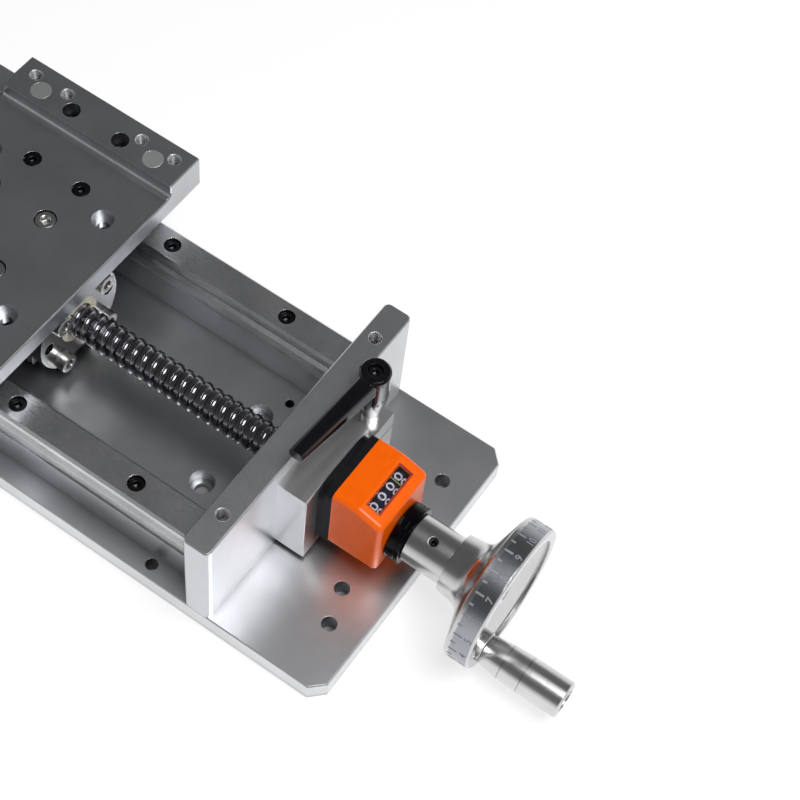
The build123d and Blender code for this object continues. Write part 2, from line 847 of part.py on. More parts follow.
# Clamp block: slit from the bore to its far side, with a low ledge under the lever
with BuildPart() as clamp_block:
    with BuildSketch(across(plate_front)) as clamp_outline:
        with BuildLine():
            Polyline(
                (-clamp_near, clamp_bottom),
                (clamp_far, clamp_bottom),
                (clamp_far, clamp_ledge_top),
                (clamp_step, clamp_ledge_top),
                (clamp_step, clamp_top),
                (-clamp_near, clamp_top),
                close=True,
            )
        make_face()
        with Locations((0, axis_z)):
            Circle(shaft_radius + bore_fit, mode=Mode.SUBTRACT)
            Rectangle(clamp_far, clamp_slit, align=(Align.MIN, Align.CENTER), mode=Mode.SUBTRACT)
    extrude(amount=clamp_thickness)
    front_edges = clamp_block.faces().sort_by(Axis.X)[-1].edges()
    chamfer(front_edges.filter_by(Axis.Y).sort_by(Axis.Z)[-1:], edge_break)
    add_disks(around_axis(plate_front), [(0, 0)], clamp_sink_radius, clamp_sink_depth, Mode.SUBTRACT)
    head_room = m5_head_radius + head_sink
    add_disks(around_axis(clamp_front), clamp_bolt_points, head_room, -clamp_bolt_sink, Mode.SUBTRACT)
    add_disks(around_axis(plate_front), clamp_bolt_points, m5_hole_radius, clamp_thickness, Mode.SUBTRACT)
    stud_point = [(stud_x, lever_y)]
    slit_low = Plane.XY.offset(axis_z - clamp_slit / 2)
    add_disks(slit_low, stud_point, m6_hole_radius, clamp_ledge_top - axis_z + clamp_slit, Mode.SUBTRACT)
    stud_thread_depth = stud_length - (clamp_ledge_top - axis_z) + tap_spare
    add_disks(slit_low, stud_point, stud_radius + thread_fit, -stud_thread_depth, Mode.SUBTRACT)
    pin_point = [(0, pin_height)]
    pin_depth = pin_length - gasket_thickness + tap_spare
    add_disks(around_axis(clamp_front), pin_point, pin_radius + bore_fit, -pin_depth, Mode.SUBTRACT)
save(clamp_block.part, "clamp_block")

with BuildPart() as clamp_block_screws:
    add_cap_screws(
        around_axis(clamp_front - clamp_bolt_sink),
        clamp_bolt_points,
        m5_radius,
        m5_head_radius,
        m5_head_height,
        clamp_screw_length,
    )
save(clamp_block_screws.part, "clamp_block_screws")


def lever_plane(z):
    """Level plane at z with its origin on the lever's axis."""
    return Plane(origin=(stud_x, lever_y, z), x_dir=(1, 0, 0), z_dir=(0, 0, 1))


# Lever stud: threaded below, collar on the ledge, splined head inside the handle
collar_top = clamp_ledge_top + stud_collar_height
spline_top = collar_top + spline_height
with BuildPart() as lever_stud:
    add_disks(lever_plane(clamp_ledge_top), [(0, 0)], stud_radius, -stud_length)
    add_disks(lever_plane(clamp_ledge_top), [(0, 0)], stud_collar_radius, stud_collar_height)
    add_disks(lever_plane(collar_top), [(0, 0)], spline_radius, spline_height)
    stud_bore_depth = lever_screw_thread + tap_spare
    add_disks(lever_plane(spline_top), [(0, 0)], m4_radius + thread_fit, -stud_bore_depth, Mode.SUBTRACT)
save(lever_stud.part, "lever_stud")

# Lever handle: waisted hub and a tapered arm, bored for the splined head and for spring and screw
neck_bottom = spline_top + body_gap
neck_top = neck_bottom + neck_thickness
screw_head_seat = neck_top + lever_lift + spring_block_length
hub_top = screw_head_seat + lever_screw_head + lever_screw_sink
hub_height = hub_top - collar_top
arm_turn = math.radians(lever_arm_turn)
arm_dir = Vector(-math.sin(arm_turn), -math.cos(arm_turn), 0)
arm_side = Vector(math.cos(arm_turn), -math.sin(arm_turn), 0)
arm_axis = Vector(stud_x, lever_y, hub_top - lever_arm_drop - lever_root_height / 2)
arm_root = arm_axis + arm_dir * lever_arm_start
arm_tip = arm_axis + arm_dir * lever_arm_length + Vector(0, 0, lever_arm_rise)
with BuildPart() as lever_handle:
    with BuildSketch(Plane(origin=(stud_x, lever_y, collar_top), x_dir=(1, 0, 0), z_dir=(0, -1, 0))):
        with BuildLine():
            foot = Line((0, 0), (hub_low_radius, 0))
            flank = Spline(foot @ 1, (hub_high_radius, hub_waist_height), tangents=[(hub_flare, 1), (0, 1)])
            rise = Line(flank @ 1, (hub_high_radius, hub_height - hub_bevel))
            bevel = Line(rise @ 1, (hub_high_radius - hub_bevel, hub_height))
            top_line = Line(bevel @ 1, (0, hub_height))
            Line(top_line @ 1, (0, 0))
        make_face()
    revolve(axis=Axis((stud_x, lever_y, 0), (0, 0, 1)))
    with BuildSketch(Plane(origin=arm_root, x_dir=arm_side, z_dir=arm_dir)) as root_section:
        RectangleRounded(lever_root_width, lever_root_height, lever_corner)
    with BuildSketch(Plane(origin=arm_tip, x_dir=arm_side, z_dir=arm_dir)) as tip_section:
        RectangleRounded(lever_tip_width, lever_tip_height, lever_corner)
    loft([root_section.sketch, tip_section.sketch])
    hub_foot = lever_plane(collar_top)
    hub_end = lever_plane(hub_top)
    add_disks(hub_foot, [(0, 0)], spline_radius + bore_fit, neck_bottom - collar_top, Mode.SUBTRACT)
    add_disks(hub_foot, [(0, 0)], m4_radius + 2 * bore_fit, hub_height, Mode.SUBTRACT)
    add_disks(hub_end, [(0, 0)], lever_screw_radius + 2 * bore_fit, neck_top - hub_top, Mode.SUBTRACT)
save(lever_handle.part, "lever_handle")

# Screw that holds the handle down on the stud through a spring
with BuildPart() as lever_screw:
    add_disks(lever_plane(screw_head_seat), [(0, 0)], lever_screw_radius, lever_screw_head)
    shank_length = screw_head_seat - spline_top + lever_screw_thread
    add_disks(lever_plane(screw_head_seat), [(0, 0)], m4_radius, -shank_length)
save(lever_screw.part, "lever_screw")

# Envelope of the coil spring between the handle's neck and the screw's head
with BuildPart() as lever_spring:
    with BuildSketch(lever_plane(neck_top)):
        Circle(lever_screw_radius)
        Circle(m4_radius + 2 * bore_fit, mode=Mode.SUBTRACT)
    extrude(amount=screw_head_seat - neck_top)
save(lever_spring.part, "lever_spring")


def indicator_slab(x, top, corner, thickness):
    """Flat plate across the spindle with the indicator's outline and rounded top corners."""
    with BuildPart() as slab:
        with BuildSketch(across(x)) as outline:
            with Locations((0, housing_bottom)):
                Rectangle(housing_width, top - housing_bottom, align=(Align.CENTER, Align.MIN))
            fillet(outline.vertices().sort_by(Axis.Y)[-2:], corner)
            with Locations((0, axis_z)):
                Circle(hollow_shaft_radius + body_gap, mode=Mode.SUBTRACT)
        extrude(amount=thickness)
    return slab.part


# Foam gasket behind the indicator
with BuildPart() as indicator_gasket:
    add(indicator_slab(clamp_front, gasket_top, gasket_corner, gasket_thickness))
    add_disks(
        around_axis(clamp_front), [(0, pin_height)], pin_radius + bore_fit, gasket_thickness, Mode.SUBTRACT
    )
save(indicator_gasket.part, "indicator_gasket")

# Back plate with the pin that keeps the indicator from turning
with BuildPart() as indicator_back_plate:
    add(indicator_slab(back_plate_x, housing_top, back_plate_corner, back_plate_thickness))
    add_disks(around_axis(back_plate_x), [(0, pin_height)], pin_radius, -pin_length)
save(indicator_back_plate.part, "indicator_back_plate")

# Housing: a moulded shell open at the back, with a sloping window side
slope_sine = math.sin(math.radians(housing_slope))
slope_cosine = math.cos(math.radians(housing_slope))
slope_foot = housing_top - (housing_front - slope_x) * slope_sine / slope_cosine
slope_plane = Plane(origin=(slope_x, 0, housing_top), x_dir=(0, 1, 0), z_dir=(slope_sine, 0, slope_cosine))
window_middle = -(window_from_break + window_length / 2)
inner_side = housing_width / 2 - housing_wall
drum_depth = housing_wall + body_gap + drum_radius
drum_axis_x = slope_x - window_middle * slope_cosine - drum_depth * slope_sine
drum_axis_z = housing_top + window_middle * slope_sine - drum_depth * slope_cosine


def drum_plane(y):
    """Upright plane across the drums' axle at y, its normal along +Y."""
    return Plane(origin=(drum_axis_x, y, drum_axis_z), x_dir=(1, 0, 0), z_dir=(0, 1, 0))


with BuildPart() as indicator_housing:
    with BuildSketch(Plane(origin=(0, housing_width / 2, 0), x_dir=(1, 0, 0), z_dir=(0, -1, 0))):
        with BuildLine():
            Polyline(
                (housing_x, housing_bottom),
                (housing_front, housing_bottom),
                (housing_front, slope_foot),
                (slope_x, housing_top),
                (housing_x, housing_top),
                close=True,
            )
        make_face()
    extrude(amount=housing_width)
    offset(amount=-housing_wall, openings=indicator_housing.faces().sort_by(Axis.X)[0])
    outer_edges = [
        e
        for e in indicator_housing.edges()
        if e.bounding_box().max.X > housing_x + housing_wall
        and (
            e.bounding_box().min.Z < housing_bottom + touch
            or e.bounding_box().max.X > housing_front - touch
            or e.bounding_box().max.Z > housing_top - touch
        )
    ]
    fillet(outer_edges, housing_corner)
    with BuildSketch(slope_plane) as window_seat:
        with Locations((0, window_middle)):
            Rectangle(window_width, window_length)
    extrude(amount=-lens_sink - lens_thickness, mode=Mode.SUBTRACT)
    with BuildSketch(slope_plane) as window_hole:
        with Locations((0, window_middle)):
            Rectangle(window_width - 2 * window_lip, window_length - 2 * window_lip)
    extrude(amount=-2 * housing_wall, mode=Mode.SUBTRACT)
    add_disks(
        around_axis(housing_front),
        [(0, 0)],
        hollow_shaft_radius + bore_fit,
        -2 * housing_wall,
        Mode.SUBTRACT,
    )
    add_disks(
        drum_plane(-inner_side - axle_socket),
        [(0, 0)],
        drum_axle_radius + bore_fit,
        2 * (inner_side + axle_socket),
        Mode.SUBTRACT,
    )
save(indicator_housing.part, "indicator_housing")

with BuildPart() as indicator_lens:
    with BuildSketch(slope_plane.offset(-lens_sink)):
        with Locations((0, window_middle)):
            Rectangle(window_width - 2 * bore_fit, window_length - 2 * bore_fit)
    extrude(amount=-lens_thickness)
save(indicator_lens.part, "indicator_lens")

with BuildPart() as drum_axle:
    axle_end = inner_side + axle_socket
    add_disks(drum_plane(-axle_end), [(0, 0)], drum_axle_radius, 2 * axle_end)
save(drum_axle.part, "drum_axle")

# Digit drums, the finest one on the far side
for index in range(drum_count):
    drum_y = drum_offset + (index - (drum_count - 1) / 2) * drum_pitch
    with BuildPart() as digit_drum:
        with BuildSketch(drum_plane(drum_y - drum_width / 2)):
            Circle(drum_radius)
            Circle(drum_axle_radius + bore_fit, mode=Mode.SUBTRACT)
        extrude(amount=drum_width)
    save(digit_drum.part, f"digit_drum_{index + 1}")

# Hollow shaft of the indicator with the black collar that is set on the spindle
collar_back = housing_front + collar_gap
groove_front = collar_front - collar_groove_inset
hollow_profile = [
    (back_plate_x, shaft_radius + bore_fit),
    (back_plate_x, hollow_shaft_radius),
    (collar_back, hollow_shaft_radius),
    (collar_back, collar_radius),
    (groove_front - collar_groove_width, collar_radius),
    (groove_front - collar_groove_width, collar_radius - collar_groove_depth),
    (groove_front, collar_radius - collar_groove_depth),
    (groove_front, collar_radius),
    (collar_front, collar_radius),
    (collar_front, shaft_radius + bore_fit),
]


def radial_plane(x, tilt):
    """Plane through the spindle axis at x whose normal points out, tilted from up towards the near side."""
    lean = math.radians(tilt)
    return Plane(origin=(x, 0, axis_z), x_dir=(1, 0, 0), z_dir=(0, -math.sin(lean), math.cos(lean)))


def set_screw(place, outside):
    """Headless set screw against the shaft, inside a collar of the given outer radius."""
    length = outside - shaft_radius - set_screw_sink
    with BuildPart() as screw:
        add_disks(place.offset(shaft_radius), [(0, 0)], set_screw_radius, length)
    return screw.part


groove_back = groove_front - collar_groove_width
collar_screw_place = radial_plane((collar_back + groove_back) / 2, collar_screw_tilt)
sleeve_screw_place = radial_plane(collar_front + set_screw_from_collar, set_screw_tilt)
with BuildPart() as indicator_hollow_shaft:
    add(turned(hollow_profile, along_axis()))
    add_disks(collar_screw_place, [(0, 0)], set_screw_radius + thread_fit, 2 * collar_radius, Mode.SUBTRACT)
save(indicator_hollow_shaft.part, "indicator_hollow_shaft")
save(set_screw(collar_screw_place, collar_radius), "collar_set_screw")

# Spacer sleeve between the collar and the handwheel
with BuildPart() as spacer_sleeve:
    with BuildSketch(around_axis(collar_front)):
        Circle(sleeve_radius)
    extrude(amount=sleeve_length)
    chamfer(spacer_sleeve.edges(), edge_break)
    add_disks(around_axis(collar_front), [(0, 0)], shaft_radius + bore_fit, sleeve_length, Mode.SUBTRACT)
    add_disks(sleeve_screw_place, [(0, 0)], set_screw_radius + thread_fit, 2 * sleeve_radius, Mode.SUBTRACT)
save(spacer_sleeve.part, "spacer_sleeve")
save(set_screw(sleeve_screw_place, sleeve_radius), "sleeve_set_screw")

# Handwheel: flared hub, conical web, straight rim for the scale, dished front
with BuildPart() as handwheel:
    with BuildSketch(along_axis()) as wheel_outline:
        with BuildLine():
            Polyline(
                (wheel_back, shaft_radius + bore_fit),
                (wheel_back, hub_root_radius),
                (wheel_back + hub_length, hub_tip_radius),
                (rim_back, rim_radius),
                (wheel_front, rim_radius),
                (wheel_front, dish_radius),
                (dish_floor, dish_floor_radius),
                (dish_floor, shaft_radius + bore_fit),
                close=True,
            )
        make_face()
        web_root = wheel_outline.vertices().sort_by_distance((wheel_back + hub_length, hub_tip_radius))[0]
        fillet(web_root, web_fillet)
        dish_corner = wheel_outline.vertices().sort_by_distance((dish_floor, dish_floor_radius))[0]
        fillet(dish_corner, dish_fillet)
        fillet(wheel_outline.vertices().sort_by(Axis.Y)[-2:], rim_edge)
    revolve(axis=Axis((0, 0, axis_z), (1, 0, 0)))
    crank_face = Plane(origin=(wheel_front, crank_y, crank_z), x_dir=(0, 1, 0), z_dir=(1, 0, 0))
    crank_thread_depth = crank_thread_length + tap_spare
    add_disks(crank_face, [(0, 0)], crank_axle_radius + thread_fit, -crank_thread_depth, Mode.SUBTRACT)
save(handwheel.part, "handwheel")

with BuildPart() as wheel_washer:
    with BuildSketch(around_axis(dish_floor)):
        Circle(wheel_washer_radius)
        Circle(m5_radius + 2 * bore_fit, mode=Mode.SUBTRACT)
    extrude(amount=wheel_washer_thickness)
save(wheel_washer.part, "wheel_washer")

with BuildPart() as wheel_screw:
    add_cap_screws(
        around_axis(dish_floor + wheel_washer_thickness),
        [(0, 0)],
        m5_radius,
        m5_head_radius,
        m5_head_height,
        wheel_screw_length,
    )
save(wheel_screw.part, "wheel_screw")

# Crank handle: swelling grip that turns on its own axle
crank_back = wheel_front + body_gap
crank_front = wheel_front + crank_length
head_seat = crank_front - crank_head_room
with BuildPart() as crank_handle:
    with BuildSketch(along_axis(crank_y, crank_z)):
        with BuildLine():
            back = Line((crank_back, crank_bore_radius), (crank_back, crank_root_radius))
            swell_end = (crank_back + crank_swell_length, crank_end_radius)
            swell = Spline(back @ 1, swell_end, tangents=[(1, crank_flare), (1, 0)])
            grip = Line(swell @ 1, (crank_front - crank_end_bevel, crank_end_radius))
            end_bevel = Line(grip @ 1, (crank_front, crank_end_radius - crank_end_bevel))
            end_face = Line(end_bevel @ 1, (crank_front, crank_head_radius + body_gap))
            room_wall = Line(end_face @ 1, (head_seat, crank_head_radius + body_gap))
            room_floor = Line(room_wall @ 1, (head_seat, crank_bore_radius))
            Line(room_floor @ 1, back @ 0)
        make_face()
    revolve(axis=Axis((0, crank_y, crank_z), (1, 0, 0)))
save(crank_handle.part, "crank_handle")

with BuildPart() as crank_axle:
    head_plane = crank_face.offset(head_seat - wheel_front + crank_end_play)
    axle_length = head_seat - wheel_front + crank_end_play + crank_thread_length
    add_disks(head_plane, [(0, 0)], crank_axle_radius, -axle_length)
    add_disks(head_plane, [(0, 0)], crank_head_radius, crank_head_height)
save(crank_axle.part, "crank_axle")
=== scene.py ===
# Cross slide table, one axis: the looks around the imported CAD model. Metres, +Z up, +X to the handwheel.
import math

import bmesh
import bpy
from mathutils import Matrix, Vector


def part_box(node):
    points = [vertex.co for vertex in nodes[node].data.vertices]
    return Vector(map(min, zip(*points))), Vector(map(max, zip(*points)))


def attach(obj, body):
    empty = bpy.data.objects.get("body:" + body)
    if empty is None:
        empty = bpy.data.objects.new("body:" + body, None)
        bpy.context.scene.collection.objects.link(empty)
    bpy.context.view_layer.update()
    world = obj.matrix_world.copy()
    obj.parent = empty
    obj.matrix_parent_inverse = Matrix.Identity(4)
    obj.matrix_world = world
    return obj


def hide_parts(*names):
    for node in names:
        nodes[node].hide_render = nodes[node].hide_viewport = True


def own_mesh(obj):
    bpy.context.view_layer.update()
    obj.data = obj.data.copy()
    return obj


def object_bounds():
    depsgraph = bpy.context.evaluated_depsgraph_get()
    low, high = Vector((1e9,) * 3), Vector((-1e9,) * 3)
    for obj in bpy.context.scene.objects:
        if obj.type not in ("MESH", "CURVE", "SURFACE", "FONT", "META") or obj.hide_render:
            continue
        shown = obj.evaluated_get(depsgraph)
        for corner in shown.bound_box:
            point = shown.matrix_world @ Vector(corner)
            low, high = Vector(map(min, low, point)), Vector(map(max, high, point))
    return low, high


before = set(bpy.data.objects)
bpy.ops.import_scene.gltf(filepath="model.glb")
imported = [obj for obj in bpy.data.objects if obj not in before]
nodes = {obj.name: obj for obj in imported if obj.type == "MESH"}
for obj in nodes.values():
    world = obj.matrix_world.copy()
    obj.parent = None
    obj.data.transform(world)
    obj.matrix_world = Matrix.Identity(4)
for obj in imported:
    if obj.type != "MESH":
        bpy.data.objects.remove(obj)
cad_low, cad_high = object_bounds()
mm = 0.001

# The photograph's camera
image_width = 800
focal_length_px = 1831.87
centre_x_px = 406.28
centre_y_px = 406.20
sensor_width = 36.0
near_clip = 10.0 * mm
camera_place = Vector((299.69, -305.91, 675.3)) * mm
camera_right = Vector((0.82218, 0.56309, 0.08339))
camera_down = Vector((0.51823, -0.67982, -0.51893))


def make_camera():
    """Camera at the photograph's place, with its view direction worked out from right and down."""
    right = camera_right.normalized()
    forward = right.cross(camera_down).normalized()
    up = right.cross(forward)
    data = bpy.data.cameras.new("camera")
    data.sensor_width = sensor_width
    data.lens = focal_length_px / image_width * sensor_width
    data.shift_x = (image_width / 2 - centre_x_px) / image_width
    data.shift_y = (centre_y_px - image_width / 2) / image_width
    data.clip_start = near_clip
    camera = bpy.data.objects.new("camera", data)
    turn = Matrix((right, up, -forward)).transposed()
    camera.matrix_world = Matrix.Translation(camera_place) @ turn.to_4x4()
    bpy.context.scene.collection.objects.link(camera)
    bpy.context.scene.camera = camera


# Studio: a white floor, a dark room above it and one soft lamp overhead
room_levels = ((0.0, 0.95), (0.12, 0.74), (0.42, 0.15), (1.0, 0.09))
floor_reach = 3.0
floor_depth = 0.1 * mm
floor_lift = 0.72
floor_shade = 0.36
floor_bounce = 0.8
# Grey sheet of painted shade under the base plate, seen through its holes
patch_inset = 1.0 * mm
patch_front_inset = 7.0 * mm
patch_painted_shade = (0.30, 0.30, 0.31)
lamp_direction = Vector((0.40, -0.04, 0.91))
lamp_distance = 1.1
lamp_width = 0.6
lamp_length = 0.6
lamp_watts = 11.0


def make_world():
    """Room that is white at the horizon and below, and darkens above it as room_levels say, by height."""
    world = bpy.data.worlds.new("studio")
    bpy.context.scene.world = world
    world.use_nodes = True
    tree = world.node_tree
    background = tree.nodes["Background"]
    coords = tree.nodes.new("ShaderNodeTexCoord")
    split = tree.nodes.new("ShaderNodeSeparateXYZ")
    ramp = tree.nodes.new("ShaderNodeValToRGB")
    ramp.color_ramp.interpolation = "EASE"
    while len(ramp.color_ramp.elements) < len(room_levels):
        ramp.color_ramp.elements.new(0.5)
    for element, (height, level) in zip(ramp.color_ramp.elements, room_levels):
        element.position = height
        element.color = (level, level, level, 1)
    tree.links.new(coords.outputs["Generated"], split.inputs[0])
    tree.links.new(split.outputs["Z"], ramp.inputs[0])
    tree.links.new(ramp.outputs[0], background.inputs["Color"])


def make_floor():
    """Plain white floor that keeps a soft shadow; camera, mirror and glass rays see it lifted to white."""
    mesh = bpy.data.meshes.new("floor")
    corners = ((-1, -1), (1, -1), (1, 1), (-1, 1))
    ring = [(x * floor_reach, y * floor_reach, -floor_depth) for x, y in corners]
    mesh.from_pydata(ring, [], [(0, 1, 2, 3)])
    floor = bpy.data.objects.new("floor", mesh)
    bpy.context.scene.collection.objects.link(floor)
    material = bpy.data.materials.new("floor_white")
    material.use_nodes = True
    tree = material.node_tree
    tree.nodes.clear()
    rays = tree.nodes.new("ShaderNodeLightPath")
    seen = tree.nodes.new("ShaderNodeMath")
    seen.operation = "MAXIMUM"
    seen_too = tree.nodes.new("ShaderNodeMath")
    seen_too.operation = "MAXIMUM"
    tree.links.new(rays.outputs["Is Camera Ray"], seen.inputs[0])
    tree.links.new(rays.outputs["Is Glossy Ray"], seen.inputs[1])
    tree.links.new(seen.outputs[0], seen_too.inputs[0])
    tree.links.new(rays.outputs["Is Transmission Ray"], seen_too.inputs[1])
    glow = tree.nodes.new("ShaderNodeEmission")
    lift = tree.nodes.new("ShaderNodeMath")
    lift.operation = "MULTIPLY"
    lift.inputs[1].default_value = floor_lift
    tree.links.new(seen_too.outputs[0], lift.inputs[0])
    tree.links.new(lift.outputs[0], glow.inputs["Strength"])
    shade = tree.nodes.new("ShaderNodeBsdfDiffuse")
    tone = tree.nodes.new("ShaderNodeMapRange")
    tone.inputs["To Min"].default_value = floor_bounce
    tone.inputs["To Max"].default_value = floor_shade
    tree.links.new(seen_too.outputs[0], tone.inputs["Value"])
    tree.links.new(tone.outputs["Result"], shade.inputs["Color"])
    both = tree.nodes.new("ShaderNodeAddShader")
    tree.links.new(shade.outputs[0], both.inputs[0])
    tree.links.new(glow.outputs[0], both.inputs[1])
    output = tree.nodes.new("ShaderNodeOutputMaterial")
    tree.links.new(both.outputs[0], output.inputs["Surface"])
    mesh.materials.append(material)


def make_patch():
    """Grey sheet right under the base plate, which its through holes show: painted shade there, plain and
    never lifted to white.
    """
    low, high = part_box("base_plate")
    xs = (low[0] + patch_inset, high[0] - patch_front_inset)
    ys = (low[1] + patch_inset, high[1] - patch_inset)
    mesh = bpy.data.meshes.new("floor_shade_patch")
    corners = [(xs[0], ys[0]), (xs[1], ys[0]), (xs[1], ys[1]), (xs[0], ys[1])]
    mesh.from_pydata([(x, y, -floor_depth / 2) for x, y in corners], [], [(0, 1, 2, 3)])
    patch = bpy.data.objects.new("floor_shade_patch", mesh)
    bpy.context.scene.collection.objects.link(patch)
    material = bpy.data.materials.new("floor_shade_patch")
    material.use_nodes = True
    material.node_tree.nodes["Principled BSDF"].inputs["Base Color"].default_value = (*patch_painted_shade, 1)
    mesh.materials.append(material)


def make_lamp(name, direction, distance, width, length, watts):
    """Soft area lamp that points at the middle of the object."""
    data = bpy.data.lights.new(name, "AREA")
    data.shape = "RECTANGLE"
    data.size = width
    data.size_y = length
    data.energy = watts
    lamp = bpy.data.objects.new(name, data)
    middle = (cad_low + cad_high) / 2
    lamp.location = middle + direction.normalized() * distance
    lamp.rotation_euler = direction.to_track_quat("Z", "Y").to_euler()
    bpy.context.scene.collection.objects.link(lamp)


# Detail that the materials share
bevel_samples = 4
# Samples of the occlusion that paints shade into hollows
painted_shade_samples = 8
noise_low = 0.35
noise_high = 0.65
# Painted edge highlight: full where the bevel normal's dot with the surface normal is below the first, none
# above the second
highlight_full_below = 0.75
highlight_none_above = 0.995
# Painted shade in hollows: full below the first occlusion value, none above the second
painted_shade_full_below = 0.1
painted_shade_none_above = 0.75
# How much lighter the painted edge highlight is than the surface
highlight_gain = 1.25
metal_edge = 0.25 * mm
# Painted highlight on metal edges: its width, share and lift
metal_highlight_edge = 0.35 * mm
metal_highlight_share = 0.6
metal_highlight_lift = 0.08
metal_cloud = 20 * mm
# Painted shade in metal hollows, down to this share of the colour
metal_painted_shade_share = 0.25
turned_line_width = 0.35 * mm
turned_line_shade = 0.45
turned_relief = 0.0002 * mm
moulded_edge = 0.3 * mm
# Painted highlight on moulded edges: its share and lift
moulded_highlight_share = 0.4
moulded_highlight_lift = 0.004
moulded_cloud = 4 * mm
moulded_grain = 0.3 * mm
moulded_spread = 0.03
faint_relief = 0.001 * mm
lens_grain = 2.0 * mm
lens_relief = 0.002 * mm


class Finish:
    """A material with one Principled shader, and short calls that add procedural detail to it."""

    def __init__(self, name, colour, metallic, roughness):
        self.material = bpy.data.materials.new(name)
        self.material.use_nodes = True
        self.tree = self.material.node_tree
        self.shader = self.tree.nodes["Principled BSDF"]
        self.colour = colour
        self.shader.inputs["Base Color"].default_value = (*colour, 1)
        self.shader.inputs["Metallic"].default_value = metallic
        self.shader.inputs["Roughness"].default_value = roughness
        self.coords = self.tree.nodes.new("ShaderNodeTexCoord")
        self.normal = None

    def set(self, socket, value):
        """Constant value on one of the shader's own sockets."""
        self.shader.inputs[socket].default_value = value

    def noise(self, size, detail=2.0, stretch=(1, 1, 1)):
        """Noise in object space whose features are about size metres, drawn out by stretch."""
        place = self.tree.nodes.new("ShaderNodeMapping")
        place.inputs["Scale"].default_value = [1 / s for s in stretch]
        texture = self.tree.nodes.new("ShaderNodeTexNoise")
        texture.inputs["Scale"].default_value = 1 / size
        texture.inputs["Detail"].default_value = detail
        self.tree.links.new(self.coords.outputs["Object"], place.inputs["Vector"])
        self.tree.links.new(place.outputs[0], texture.inputs["Vector"])
        return texture.outputs["Fac"]

    def range(self, value, low, high, from_low=noise_low, from_high=noise_high):
        """Value spread over low to high as it goes from from_low to from_high."""
        spread = self.tree.nodes.new("ShaderNodeMapRange")
        spread.inputs["From Min"].default_value = from_low
        spread.inputs["From Max"].default_value = from_high
        spread.inputs["To Min"].default_value = low
        spread.inputs["To Max"].default_value = high
        self.tree.links.new(value, spread.inputs["Value"])
        return spread.outputs["Result"]

    def vary_roughness(self, value, low, high):
        """Roughness between low and high, by a noise value."""
        self.tree.links.new(self.range(value, low, high), self.shader.inputs["Roughness"])

    def vary_colour(self, value, other):
        """Colour between the base colour and another, by a noise value."""
        mix = self.tree.nodes.new("ShaderNodeMix")
        mix.data_type = "RGBA"
        mix.inputs["A"].default_value = (*self.colour, 1)
        mix.inputs["B"].default_value = (*other, 1)
        self.tree.links.new(self.range(value, 0, 1), mix.inputs["Factor"])
        self.tree.links.new(mix.outputs["Result"], self.shader.inputs["Base Color"])

    def soften_edges(self, radius):
        """Edges that catch light as if broken by radius."""
        bevel = self.tree.nodes.new("ShaderNodeBevel")
        bevel.samples = bevel_samples
        bevel.inputs["Radius"].default_value = radius
        self.normal = bevel.outputs["Normal"]
        self.tree.links.new(self.normal, self.shader.inputs["Normal"])

    def wear_edges(self, radius, colour, amount):
        """Painted highlight: edges lightened towards another colour, after vary_colour has set the surface's
        own.
        """
        bevel = self.tree.nodes.new("ShaderNodeBevel")
        bevel.samples = bevel_samples
        bevel.inputs["Radius"].default_value = radius
        surface = self.tree.nodes.new("ShaderNodeNewGeometry")
        dot = self.tree.nodes.new("ShaderNodeVectorMath")
        dot.operation = "DOT_PRODUCT"
        self.tree.links.new(bevel.outputs["Normal"], dot.inputs[0])
        self.tree.links.new(surface.outputs["Normal"], dot.inputs[1])
        highlighted = self.range(dot.outputs["Value"], amount, 0.0, highlight_full_below, highlight_none_above)
        mix = self.tree.nodes.new("ShaderNodeMix")
        mix.data_type = "RGBA"
        mix.inputs["B"].default_value = (*colour, 1)
        self.tree.links.new(highlighted, mix.inputs["Factor"])
        self.tree.links.new(self.shader.inputs["Base Color"].links[0].from_socket, mix.inputs["A"])
        self.tree.links.new(mix.outputs["Result"], self.shader.inputs["Base Color"])

    def darken_hollows(self, reach, least):
        """Painted shade: colour darkened inside holes and corners narrower than reach, down to a share of
        itself.
        """
        hollow = self.tree.nodes.new("ShaderNodeAmbientOcclusion")
        hollow.samples = painted_shade_samples
        hollow.inputs["Distance"].default_value = reach
        mix = self.tree.nodes.new("ShaderNodeMix")
        mix.data_type = "RGBA"
        mix.blend_type = "MULTIPLY"
        mix.inputs["Factor"].default_value = 1.0
        shade = self.range(hollow.outputs["AO"], least, 1.0, painted_shade_full_below, painted_shade_none_above)
        self.tree.links.new(self.shader.inputs["Base Color"].links[0].from_socket, mix.inputs["A"])
        self.tree.links.new(shade, mix.inputs["B"])
        self.tree.links.new(mix.outputs["Result"], self.shader.inputs["Base Color"])

    def bands(self, axis, places, width, colour):
        """Narrow turned lines across an axis of the object, in another colour."""
        split = self.tree.nodes.new("ShaderNodeSeparateXYZ")
        self.tree.links.new(self.coords.outputs["Object"], split.inputs[0])
        for place in places:
            away = self.tree.nodes.new("ShaderNodeMath")
            away.operation = "COMPARE"
            away.inputs[1].default_value = place
            away.inputs[2].default_value = width / 2
            self.tree.links.new(split.outputs[axis], away.inputs[0])
            mix = self.tree.nodes.new("ShaderNodeMix")
            mix.data_type = "RGBA"
            mix.inputs["B"].default_value = (*colour, 1)
            self.tree.links.new(away.outputs[0], mix.inputs["Factor"])
            self.tree.links.new(self.shader.inputs["Base Color"].links[0].from_socket, mix.inputs["A"])
            self.tree.links.new(mix.outputs["Result"], self.shader.inputs["Base Color"])

    def bump(self, value, distance):
        """Fine relief from a noise value, at full strength."""
        relief = self.tree.nodes.new("ShaderNodeBump")
        relief.inputs["Distance"].default_value = distance
        relief.inputs["Strength"].default_value = 1.0
        self.tree.links.new(value, relief.inputs["Height"])
        if self.normal is not None:
            self.tree.links.new(self.normal, relief.inputs["Normal"])
        self.normal = relief.outputs["Normal"]
        self.tree.links.new(self.normal, self.shader.inputs["Normal"])


